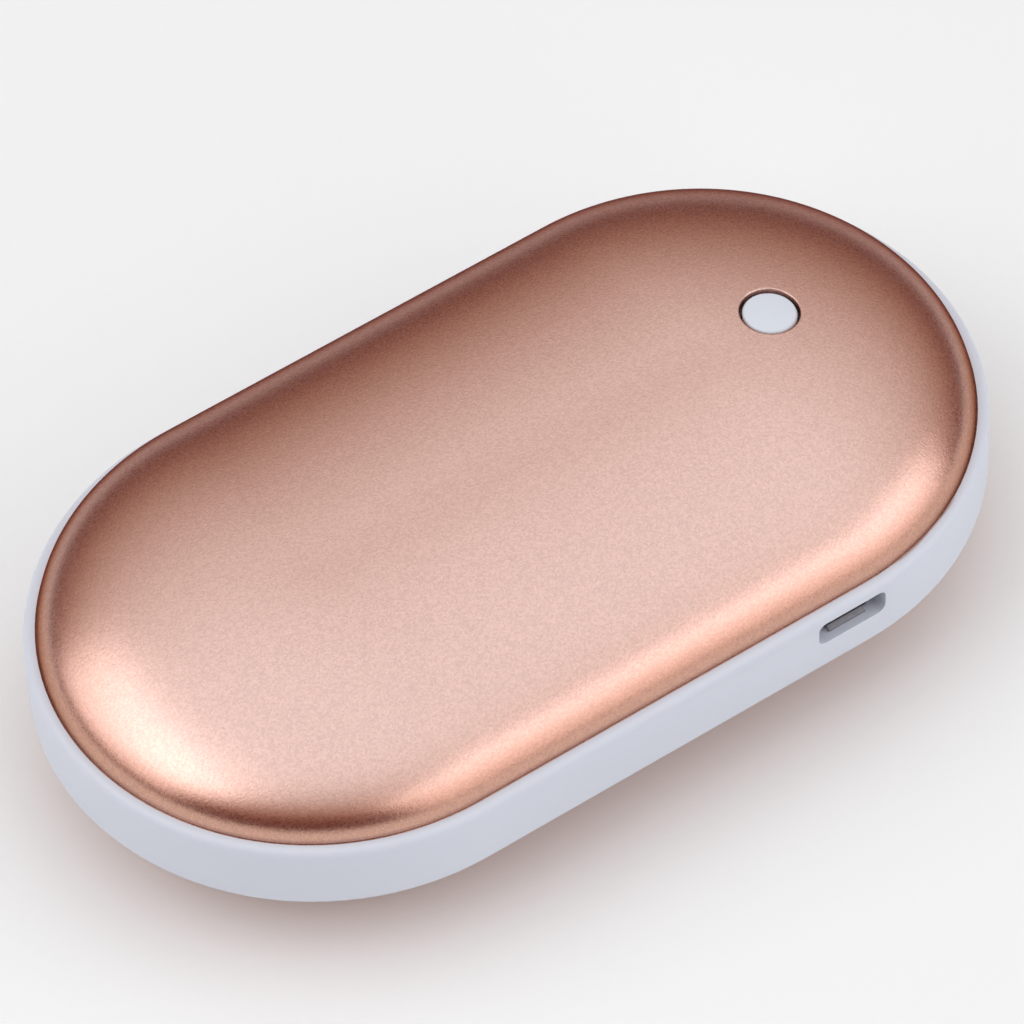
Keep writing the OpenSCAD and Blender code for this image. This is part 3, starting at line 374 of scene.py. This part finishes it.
arc = math.pi * shell_radius
corners = [
    0.0,
    2 * straight_half,
    2 * straight_half + arc,
    4 * straight_half + arc,
    4 * straight_half + 2 * arc
]
side_steps = [straight_steps, arc_steps, straight_steps, arc_steps]
shell_columns = [0.0]
for first, last, steps in zip(corners, corners[1:], side_steps):
    shell_columns += [first + (last - first) * i / steps for i in range(1, steps + 1)]


def dome_height(across, depth):
    """Height of the shell's face at a distance from the middle line, a depth under its outer face."""
    share = max(across - crown_half, 0.0) / (shell_radius - crown_half - depth)
    return edge_height + (rise - depth) * math.sqrt(max(1.0 - share * share, 0.0))


def on_dome(x, y, depth):
    """Place on the flat strip of the shell's face at a point seen from above."""
    along, across = unrolled(x, y, shell_radius)
    return along, across, dome_height(across, depth)


def dome_profile(depth):
    """Reach and height of each row of one face of the sheet, from the middle line out to the foot."""
    run = shell_radius - crown_half - depth
    crown = edge_height + rise - depth
    bends = [math.pi / 2 * i / dome_steps for i in range(dome_steps + 1)]
    rows = [(0.0, crown), (crown_half / 2, crown)]
    for bend in bends:
        rows.append((crown_half + run * math.sin(bend), edge_height + (rise - depth) * math.cos(bend)))
    flare = 0.0 if depth else foot_flare
    if flare:
        rows.append((shell_radius, edge_height - foot_start))
        rows.append((shell_radius + flare, edge_height - foot_start - flare))
    rows.append((shell_radius - depth + flare, edge_height - seat_depth))
    return rows


def dome_blank(with_hole):
    """Flat strip mesh of one shell: an outer and an inner face, joined at the foot and in the hole."""
    points, faces = [], []

    def add_points(new):
        """Adds points and returns their numbers."""
        first = len(points)
        points.extend(new)
        return list(range(first, first + len(new)))

    def join(last, ring):
        """Joins two closed rings with faces and returns the second."""
        for k in range(len(last)):
            n = (k + 1) % len(last)
            faces.append((last[k], last[n], ring[n], ring[k]))
        return ring

    def sheet_face(depth):
        """Rows of points of one face of the sheet, with faces between them, but none where the hole goes."""
        rows = [add_points([(along, out, up) for along in shell_columns]) for out, up in dome_profile(depth)]
        for i in range(len(rows) - 1):
            for j in range(len(shell_columns) - 1):
                at_hole = first_cut_row <= i < last_cut_row and first_cut_column <= j < last_cut_column
                if not (with_hole and at_hole):
                    faces.append((rows[i][j], rows[i][j + 1], rows[i + 1][j + 1], rows[i + 1][j]))
        return rows

    def hole_rings(rows, depth):
        """Rings from the gap in one face of the sheet to the hole, and over the outer face's broken edge."""
        loop = [rows[first_cut_row][j] for j in range(first_cut_column, last_cut_column)]
        loop += [rows[i][last_cut_column] for i in range(first_cut_row, last_cut_row)]
        loop += [rows[last_cut_row][j] for j in range(last_cut_column, first_cut_column, -1)]
        loop += [rows[i][first_cut_column] for i in range(last_cut_row, first_cut_row, -1)]
        start = []
        for index in loop:
            along, out, _ = points[index]
            angle = (along - 2 * straight_half) / shell_radius - math.pi / 2
            start.append((straight_half + out * math.cos(angle), out * math.sin(angle)))
        turns = [math.atan2(y, x - hole_place) for x, y in start]
        reach = hole_radius + (0.0 if depth else hole_bevel)
        last = loop
        for share in hole_ring_shares:
            ring = []
            for (x, y), turn in zip(start, turns):
                goal_x, goal_y = hole_place + reach * math.cos(turn), reach * math.sin(turn)
                ring.append(on_dome(x + (goal_x - x) * share, y + (goal_y - y) * share, depth))
            last = join(last, add_points(ring))
        if depth:
            return last
        for share in bevel_ring_shares:
            bend = math.pi / 2 * share
            out = hole_radius + hole_bevel * (1 - math.sin(bend))
            down = hole_bevel * (1 - math.cos(bend))
            ring = [on_dome(hole_place + out * math.cos(turn), out * math.sin(turn), down) for turn in turns]
            last = join(last, add_points(ring))
        return last

    outer, inner = sheet_face(0.0), sheet_face(sheet)
    for j in range(len(shell_columns) - 1):
        faces.append((outer[-1][j], outer[-1][j + 1], inner[-1][j + 1], inner[-1][j]))
    if with_hole:
        join(hole_rings(outer, 0.0), hole_rings(inner, sheet))
    mesh = bpy.data.meshes.new("shell_blank")
    mesh.from_pydata(points, [], faces)
    mesh.materials.append(shell_finish)
    return mesh


shell_wrap = round_the_case(shell_radius)
shell_inputs = {"Straight Half": straight_half, "Outline Radius": shell_radius, "Finish": shell_finish}
top_shell = grown("top_shell_dome", dome_blank(True), shell_wrap, shell_inputs)
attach(top_shell, "housing")
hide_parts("top_shell")

bottom_shell = grown("bottom_shell_dome", dome_blank(False), shell_wrap, shell_inputs)
for vertex in bottom_shell.data.vertices:
    vertex.co.z = 2 * middle_height - vertex.co.z
bottom_shell.data.flip_normals()
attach(bottom_shell, "housing")
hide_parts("bottom_shell")


# Side band: a ring moulded in pale, faintly lilac plastic, with rounded outer edges.
# The socket's opening has a softly broken edge. Bosses, ledges and clip pockets are moulded inside the ring.
band_shade = (0.70, 0.73, 0.82)
band_light = (0.72, 0.75, 0.84)
band_finish, tree, shader, place = begin_finish("band_plastic")
shader.inputs["IOR"].default_value = 1.5
cloud = noise(tree, place, scale=60.0).outputs["Fac"]
feed(shader, colour=blend(tree, cloud, band_shade, band_light))
grain = noise(tree, place, scale=4000.0).outputs["Fac"]
feed(shader, roughness=spread(tree, grain, low=0.40, high=0.50))
emboss(tree, shader, grain, strength=0.12, distance=0.00001)


def soften(mesh, crease):
    """Shades a mesh softly, except over edges that turn by more than the crease angle."""
    for polygon in mesh.polygons:
        polygon.use_smooth = True
    mesh.set_sharp_from_angle(angle=crease)


shell_inset = 0.0013
band_radius = shell_radius + shell_inset
band_weld = 1e-6
band_crease = math.radians(32.0)
flat_turn = math.radians(0.05)
opening_break = 0.00014
opening_break_steps = 3
opening_reach = 0.0006
opening_half_height = 0.002
opening_least_turn = 1.0
face_slack = 0.00002
port_low, port_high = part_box("port_shell")
port_middle = (port_low[2] + port_high[2]) / 2


def welded_copy(name, node):
    """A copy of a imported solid's mesh, with its loose triangles merged."""
    mesh = nodes[node].data.copy()
    mesh.name = name
    shape = bmesh.new()
    shape.from_mesh(mesh)
    weld(shape, band_weld)
    shape.to_mesh(mesh)
    shape.free()
    return mesh


def at_mouth(point):
    """True for a point of the band's outer face that lies on the rim of the socket's opening."""
    over = math.hypot(point.x - min(max(point.x, -straight_half), straight_half), point.y)
    beside = port_low[0] - opening_reach < point.x < port_high[0] + opening_reach and point.y < 0.0
    return over > band_radius - face_slack and beside and abs(point.z - port_middle) < opening_half_height


band_mesh = welded_copy("side_band_ring", "side_band")
shape = bmesh.new()
shape.from_mesh(band_mesh)
bmesh.ops.dissolve_limit(shape, angle_limit=flat_turn, verts=shape.verts, edges=shape.edges)
mouth = []
for line in shape.edges:
    if all(at_mouth(vertex.co) for vertex in line.verts) and line.calc_face_angle(0.0) > opening_least_turn:
        mouth.append(line)
bmesh.ops.bevel(
    shape, geom=mouth, offset=opening_break, segments=opening_break_steps, profile=0.5,
    affect="EDGES", clamp_overlap=True
)
shape.to_mesh(band_mesh)
shape.free()
soften(band_mesh, band_crease)
band_mesh.materials.clear()
band_mesh.materials.append(band_finish)
band = add_object("side_band_ring", band_mesh)
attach(band, "housing")
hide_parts("side_band")


# Button: a small moulded cap of pale plastic with a softly rounded edge, a hair below the rim of its hole.
# It leans with the slope of the shell, and a flange and a ribbed stem under it reach down to the switch.
button_shade = (0.71, 0.745, 0.82)
button_light = (0.74, 0.775, 0.85)
button_finish, tree, shader, place = begin_finish("button_plastic")
cloud = noise(tree, place, scale=400.0).outputs["Fac"]
feed(shader, colour=blend(tree, cloud, button_shade, button_light))
feed(shader, roughness=spread(tree, cloud, low=0.30, high=0.38))

button_place = hole_place
cap_radius = 0.0028
cap_edge = 0.0003
cap_edge_steps = 8
cap_ring_shares = (0.85, 0.65, 0.45, 0.25, 0.1)
crown_radius = 0.026
crown_recess = 0.0001
flange_radius = 0.0038
flange_height = 0.0009
flange_edge = 0.0001
stem_radius = 0.0015
stem_edge = 0.00009
rib_reach = 0.0025
rib_half = 0.0004
rib_start = 0.0008
rib_end_shares = (-1.0, -0.5, 0.0, 0.5, 1.0)
stem_steps = 18
under_guide = 0.00005
button_weld = 1e-7
button_crease = math.radians(40.0)

guide_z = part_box("button_guide")[0][2]
foot_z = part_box("power_button")[0][2]
from_crown = button_place - straight_half - crown_half
dome_run = shell_radius - crown_half
slope = rise / dome_run * from_crown / math.sqrt(dome_run ** 2 - from_crown ** 2)
crown_lean = math.atan(slope)
crown_z = dome_height(button_place - straight_half, 0.0) - crown_recess
crown_centre = Vector((
    button_place - crown_radius * math.sin(crown_lean),
    0.0,
    crown_z - crown_radius * math.cos(crown_lean)
))


def crown_height(x, y):
    """Height of the cap's rounded crown over a point seen from above."""
    return crown_centre.z + math.sqrt(crown_radius ** 2 - (x - crown_centre.x) ** 2 - y ** 2)


rib_corner = math.atan2(rib_half, rib_reach)
rib_root = math.asin(rib_half / stem_radius)
turns = []
for quarter in range(4):
    middle = quarter * math.pi / 2
    turns += [middle + share * rib_corner for share in rib_end_shares]
    turns.append(middle + (rib_corner + rib_root) / 2)
    gap = math.pi / 2 - 2 * rib_root
    turns += [middle + rib_root + gap * i / stem_steps for i in range(stem_steps + 1)]
    turns.append(middle + math.pi / 2 - (rib_corner + rib_root) / 2)


def stem_reach(turn):
    """Reach of the ribbed stem's outline in one direction."""
    across = abs((turn + math.pi / 4) % (math.pi / 2) - math.pi / 4)
    if across <= rib_corner:
        return rib_reach / math.cos(across)
    if across < rib_root:
        return rib_half / math.sin(across)
    return stem_radius


def button_mesh():
    """Cap with a soft edge on a flange and a stem with four ribs, built up ring by ring from the foot."""
    shape = bmesh.new()
    flange_top = guide_z - under_guide
    flange_bottom = flange_top - flange_height

    def ring(reach, level):
        """A ring of points; reach and level are numbers, or functions of the turn and of the place."""
        made = []
        for turn in turns:
            out = reach(turn) if callable(reach) else reach
            x, y = button_place + out * math.cos(turn), out * math.sin(turn)
            made.append(shape.verts.new((x, y, level(x, y) if callable(level) else level)))
        return made

    profile = [
        (stem_radius / 2, foot_z),
        (stem_radius - stem_edge, foot_z),
        (stem_radius, foot_z + stem_edge),
        (stem_radius, foot_z + rib_start),
        (stem_reach, foot_z + rib_start),
        (stem_reach, flange_bottom),
        (flange_radius - flange_edge, flange_bottom),
        (flange_radius, flange_bottom + flange_edge),
        (flange_radius, flange_top - flange_edge),
        (flange_radius - flange_edge, flange_top),
        (cap_radius, flange_top)
    ]
    rings = [ring(reach, level) for reach, level in profile]
    for step in range(cap_edge_steps + 1):
        bend = math.pi / 2 * step / cap_edge_steps
        drop = cap_edge * (1 - math.sin(bend))
        out = cap_radius - cap_edge * (1 - math.cos(bend))
        rings.append(ring(out, lambda x, y, drop=drop: crown_height(x, y) - drop))
    for share in cap_ring_shares:
        rings.append(ring((cap_radius - cap_edge) * share, crown_height))
    for low, high in zip(rings, rings[1:]):
        for k in range(len(turns)):
            n = (k + 1) % len(turns)
            shape.faces.new((low[k], low[n], high[n], high[k]))
    foot = shape.verts.new((button_place, 0.0, foot_z))
    top = shape.verts.new((button_place, 0.0, crown_height(button_place, 0.0)))
    for k in range(len(turns)):
        n = (k + 1) % len(turns)
        shape.faces.new((rings[0][n], rings[0][k], foot))
        shape.faces.new((rings[-1][k], rings[-1][n], top))
    weld(shape, button_weld)
    bmesh.ops.recalc_face_normals(shape, faces=shape.faces)
    mesh = bpy.data.meshes.new("power_button_cap")
    shape.to_mesh(mesh)
    shape.free()
    soften(mesh, button_crease)
    mesh.materials.append(button_finish)
    return mesh


button = add_object("power_button_cap", button_mesh())
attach(button, "button")
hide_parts("power_button")


# Charging socket: a shell folded from nickel-plated steel sheet, with flared lips, soldered to the board.
# In it are a moulded tongue and five gold-flashed contacts.
def dress(finish, *names):
    """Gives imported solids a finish; their shapes stay as they are."""
    for name in names:
        for patch in nodes[name].material_slots:
            patch.material = finish


def grained_finish(
    name, dark, light, scale, rough, metallic=0.0, relief=0.0, stretch=(1.0, 1.0, 1.0), detail=2.0
):
    """A finish whose colour and gloss follow one grain: scale in repeats a metre, stretch along each axis."""
    finish, tree, shader, place = begin_finish(name)
    shader.inputs["Metallic"].default_value = metallic
    drawn = add_node(tree, "ShaderNodeMapping", {"Vector": place, "Scale": stretch}).outputs["Vector"]
    grain = noise(tree, drawn, scale, detail).outputs["Fac"]
    share = spread(tree, grain, low=0.0, high=1.0, start=grain_low, end=grain_high)
    feed(shader, colour=blend(tree, share, dark, light))
    feed(shader, roughness=spread(tree, grain, *rough, start=grain_low, end=grain_high))
    if relief:
        emboss(tree, shader, grain, strength=0.4, distance=relief)
    return finish


socket_steel = grained_finish(
    "socket_steel", dark=(0.38, 0.37, 0.40), light=(0.46, 0.45, 0.48), scale=900.0, rough=(0.34, 0.44),
    metallic=1.0, stretch=(1.0, 0.1, 1.0)
)
socket_plastic = grained_finish(
    "socket_plastic", dark=(0.02, 0.02, 0.022), light=(0.035, 0.035, 0.04), scale=2500.0, rough=(0.45, 0.6)
)
contact_gold = grained_finish(
    "contact_gold", dark=(0.80, 0.55, 0.20), light=(0.90, 0.66, 0.28), scale=1500.0, rough=(0.2, 0.32),
    metallic=1.0
)
dress(socket_steel, "port_shell")
dress(socket_plastic, "port_tongue")
dress(contact_gold, "port_contacts")


# Liners, button guide and cell brackets: moulded in dark grey plastic. The liners are bonded in the shells.
# Their hooks clip into the band; the guide is bonded round the button's hole; the brackets hold the cells.
liner_plastic = grained_finish(
    "liner_plastic", dark=(0.055, 0.058, 0.064), light=(0.075, 0.08, 0.088), scale=1800.0, rough=(0.5, 0.65),
    relief=0.00001
)
dress(liner_plastic, "top_liner", "bottom_liner", "button_guide", "cell_bracket_left", "cell_bracket_right")


# Push switch: a moulded body and plunger, with a sheet cover, a snap dome and four legs of tinned metal.
# It is soldered to the board under the button.
switch_plastic = grained_finish(
    "switch_plastic", dark=(0.012, 0.012, 0.014), light=(0.022, 0.022, 0.025), scale=2500.0,
    rough=(0.4, 0.55)
)
switch_metal = grained_finish(
    "switch_metal", dark=(0.52, 0.53, 0.55), light=(0.66, 0.67, 0.69), scale=1400.0, rough=(0.25, 0.4),
    metallic=1.0, stretch=(0.15, 1.0, 1.0)
)
dress(switch_plastic, "switch_body", "switch_plunger")
dress(switch_metal, "switch_cover", "switch_legs")


# Snap dome of the switch: a shallow disc stamped from thin spring steel, loose under the plunger.
# It flattens as the button goes down and lifts it again.
snap_sheet = 0.0001
snap_steps, snap_turns = 12, 64
snap_crease = math.radians(40.0)
snap_low, snap_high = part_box("switch_dome")
snap_radius = (snap_high[0] - snap_low[0]) / 2
snap_rise = snap_high[2] - snap_low[2] - snap_sheet


def snap_dome_mesh():
    """Thin dished disc: rings out along its under face, back along its top, and a point at each middle."""
    shape = bmesh.new()
    outward = [(step / snap_steps, 0.0) for step in range(1, snap_steps + 1)]
    inward = [(share, snap_sheet) for share, _ in reversed(outward)]
    rings = []
    for share, lift in outward + inward:
        level = snap_low[2] + snap_rise * (1 - share * share) + lift
        ring = []
        for k in range(snap_turns):
            turn = 2 * math.pi * k / snap_turns
            x = button_place + snap_radius * share * math.cos(turn)
            ring.append(shape.verts.new((x, snap_radius * share * math.sin(turn), level)))
        rings.append(ring)
    under = shape.verts.new((button_place, 0.0, snap_low[2] + snap_rise))
    top = shape.verts.new((button_place, 0.0, snap_high[2]))
    for k in range(snap_turns):
        n = (k + 1) % snap_turns
        shape.faces.new((under, rings[0][k], rings[0][n]))
        shape.faces.new((top, rings[-1][n], rings[-1][k]))
        for low, high in zip(rings, rings[1:]):
            shape.faces.new((low[k], high[k], high[n], low[n]))
    bmesh.ops.recalc_face_normals(shape, faces=shape.faces)
    mesh = bpy.data.meshes.new("snap_dome")
    shape.to_mesh(mesh)
    shape.free()
    soften(mesh, snap_crease)
    mesh.materials.append(switch_metal)
    return mesh


snap_dome = add_object("snap_dome", snap_dome_mesh())
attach(snap_dome, "housing")
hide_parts("switch_dome")
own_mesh(snap_dome)


# Circuit board: glass-fibre laminate under a green solder mask, with copper tracks showing faintly through.
# Three zinc-plated screws hold it on the band's bosses.
mask_green = (0.010, 0.085, 0.030)
track_green = (0.022, 0.150, 0.055)
weave_pull = 0.0012
track_edge, track_top = 0.60, 0.68
board_laminate, tree, shader, place = begin_finish("board_laminate")
weave = noise(tree, place, scale=260.0, detail=1.0)
pull = scaled(tree, weave.outputs["Color"], weave_pull)
pulled = add_node(tree, "ShaderNodeVectorMath", {0: place, 1: pull}, operation="ADD").outputs[0]
lanes = add_node(
    tree, "ShaderNodeTexWave", {"Vector": pulled, "Scale": 160.0},
    wave_type="BANDS", bands_direction="DIAGONAL"
)
track = spread(tree, lanes.outputs["Fac"], low=0.0, high=1.0, start=track_edge, end=track_top)
feed(shader, colour=blend(tree, track, mask_green, track_green))
feed(shader, roughness=spread(tree, weave.outputs["Fac"], low=0.22, high=0.34))
emboss(tree, shader, track, strength=0.3, distance=0.00003)
dress(board_laminate, "circuit_board")
screw_steel = grained_finish(
    "screw_steel", dark=(0.50, 0.51, 0.53), light=(0.64, 0.65, 0.67), scale=1600.0, rough=(0.25, 0.4),
    metallic=1.0
)
dress(screw_steel, "board_screw_1", "board_screw_2", "board_screw_3")


# Parts on the board: a ferrite coil, two moulded chips and two transistors with tinned legs, and small
# two-ended capacitors and resistors with tinned ends. Two tiny lamps stand beside the switch.
tin = (0.60, 0.60, 0.62)
tin_rough = 0.3
epoxy = (0.016, 0.016, 0.018)
ceramic = (0.38, 0.26, 0.15)
chip_leg = 0.0013
transistor_leg = 0.0014
end_share = 0.18
capacitor_length = 0.0032
resistor_length = 0.0016
x_axis, y_axis = 0, 1


def tipped_finish(name, node, axis, tip, body, rough):
    """A moulded body whose outer ends, along one axis of its box, are tinned metal over the tip's length."""
    finish, tree, shader, place = begin_finish(name)
    low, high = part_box(node)
    middle = (low[axis] + high[axis]) / 2
    reach = (high[axis] - low[axis]) / 2 - tip
    position = add_node(tree, "ShaderNodeSeparateXYZ", {"Vector": place}).outputs[axis]
    away = reckon(tree, "ABSOLUTE", reckon(tree, "SUBTRACT", position, middle))
    tinned = reckon(tree, "GREATER_THAN", away, reach)
    grain = noise(tree, place, scale=3500.0).outputs["Fac"]
    mottle = spread(tree, grain, low=0.85, high=1.15, start=grain_low, end=grain_high)
    feed(shader, colour=scaled(tree, blend(tree, tinned, body, tin), mottle), metallic=tinned)
    feed(shader, roughness=spread(tree, tinned, low=rough, high=tin_rough))
    return finish


inductor_ferrite = grained_finish(
    "inductor_ferrite", dark=(0.028, 0.028, 0.030), light=(0.06, 0.06, 0.064), scale=4200.0, rough=(0.5, 0.7),
    relief=0.00002
)
dress(inductor_ferrite, "power_inductor")
dress(tipped_finish("charger_epoxy", "charger_chip", y_axis, chip_leg, epoxy, rough=0.55), "charger_chip")
controller_epoxy = tipped_finish("controller_epoxy", "controller_chip", x_axis, chip_leg, epoxy, rough=0.55)
dress(controller_epoxy, "controller_chip")
for number in (1, 2):
    name = f"heater_transistor_{number}"
    dress(tipped_finish(f"transistor_epoxy_{number}", name, y_axis, transistor_leg, epoxy, rough=0.5), name)
for number in (1, 2, 3):
    name = f"chip_capacitor_{number}"
    end = end_share * capacitor_length
    dress(tipped_finish(f"capacitor_ceramic_{number}", name, x_axis, end, ceramic, rough=0.45), name)
for number in (1, 2, 3, 4):
    name = f"chip_resistor_{number}"
    end = end_share * resistor_length
    dress(tipped_finish(f"resistor_glaze_{number}", name, x_axis, end, epoxy, rough=0.35), name)
lamp_resin = grained_finish(
    "lamp_resin", dark=(0.80, 0.72, 0.45), light=(0.90, 0.84, 0.62), scale=1500.0, rough=(0.15, 0.25)
)
dress(lamp_resin, "indicator_lamp_1", "indicator_lamp_2")


# Battery cells: drawn steel cans, nickel plated, each in a shrunk film sleeve, with a fibre-paper washer at
# its contact. Two nickel strips, spot-welded on, join the pair.
cell_can = grained_finish(
    "cell_can", dark=(0.55, 0.56, 0.57), light=(0.66, 0.67, 0.68), scale=700.0, rough=(0.28, 0.4),
    metallic=1.0, stretch=(0.08, 1.0, 1.0)
)
cell_sleeve = grained_finish(
    "cell_sleeve", dark=(0.022, 0.095, 0.27), light=(0.036, 0.135, 0.35), scale=300.0, rough=(0.22, 0.34),
    relief=0.00004, stretch=(0.25, 1.0, 1.0)
)
washer_paper = grained_finish(
    "washer_paper", dark=(0.70, 0.66, 0.54), light=(0.82, 0.79, 0.68), scale=2600.0, rough=(0.75, 0.9),
    relief=0.00003, detail=4.0
)
link_nickel = grained_finish(
    "link_nickel", dark=(0.56, 0.54, 0.50), light=(0.70, 0.68, 0.63), scale=900.0, rough=(0.25, 0.38),
    metallic=1.0, stretch=(1.0, 0.06, 1.0)
)
dress(cell_can, "battery_cell_front", "battery_cell_rear")
dress(cell_sleeve, "cell_sleeve_front", "cell_sleeve_rear")
dress(washer_paper, "cell_washer_front", "cell_washer_rear")
dress(link_nickel, "plus_strip", "minus_strip")


# Heating films: amber polyimide bonded under each shell, with one etched metal track that runs to and fro.
# A foam pad between the cells and each film presses it on the shell.
heater_film = grained_finish(
    "heater_film", dark=(0.50, 0.20, 0.025), light=(0.62, 0.28, 0.05), scale=220.0, rough=(0.18, 0.28),
    stretch=(1.0, 0.3, 1.0)
)
heater_track = grained_finish(
    "heater_track", dark=(0.42, 0.35, 0.29), light=(0.56, 0.48, 0.40), scale=1100.0, rough=(0.3, 0.42),
    metallic=1.0, stretch=(0.1, 1.0, 1.0)
)
dress(heater_film, "top_heater_film", "bottom_heater_film")
dress(heater_track, "top_heater_track", "bottom_heater_track")
# Painted shade: the foam is coloured darker in the middle of each pore, where its pit lies, and pale on the
# walls between.
painted_pore_shade = (0.66, 0.66, 0.62)
pore_wall = (0.90, 0.90, 0.86)
foam, tree, shader, place = begin_finish("foam")
pores = add_node(tree, "ShaderNodeTexVoronoi", {"Vector": place, "Scale": 2200.0}).outputs["Distance"]
feed(shader, colour=blend(tree, pores, painted_pore_shade, pore_wall))
feed(shader, roughness=spread(tree, pores, low=0.85, high=0.98))
emboss(tree, shader, pores, strength=0.6, distance=0.00008)
dress(foam, "top_foam_pad", "bottom_foam_pad")


# Wires: stranded copper in silicone, red for plus, black for minus, and white at the rear of the heaters.
# The thermistor is a dipped glass bead that lies against the top film.
wire_red = grained_finish(
    "wire_red", dark=(0.50, 0.018, 0.016), light=(0.62, 0.035, 0.030), scale=1800.0, rough=(0.4, 0.55)
)
wire_white = grained_finish(
    "wire_white", dark=(0.74, 0.74, 0.71), light=(0.86, 0.86, 0.83), scale=1800.0, rough=(0.4, 0.55)
)
wire_black = grained_finish(
    "wire_black", dark=(0.010, 0.010, 0.012), light=(0.020, 0.020, 0.023), scale=1800.0, rough=(0.4, 0.55)
)
thermistor_glass = grained_finish(
    "thermistor_glass", dark=(0.018, 0.018, 0.020), light=(0.034, 0.032, 0.032), scale=2400.0,
    rough=(0.12, 0.25)
)
dress(wire_red, "top_heater_wire_front", "bottom_heater_wire_front", "plus_wire")
dress(wire_white, "top_heater_wire_rear", "bottom_heater_wire_rear")
dress(wire_black, "minus_wire")
dress(thermistor_glass, "thermistor")
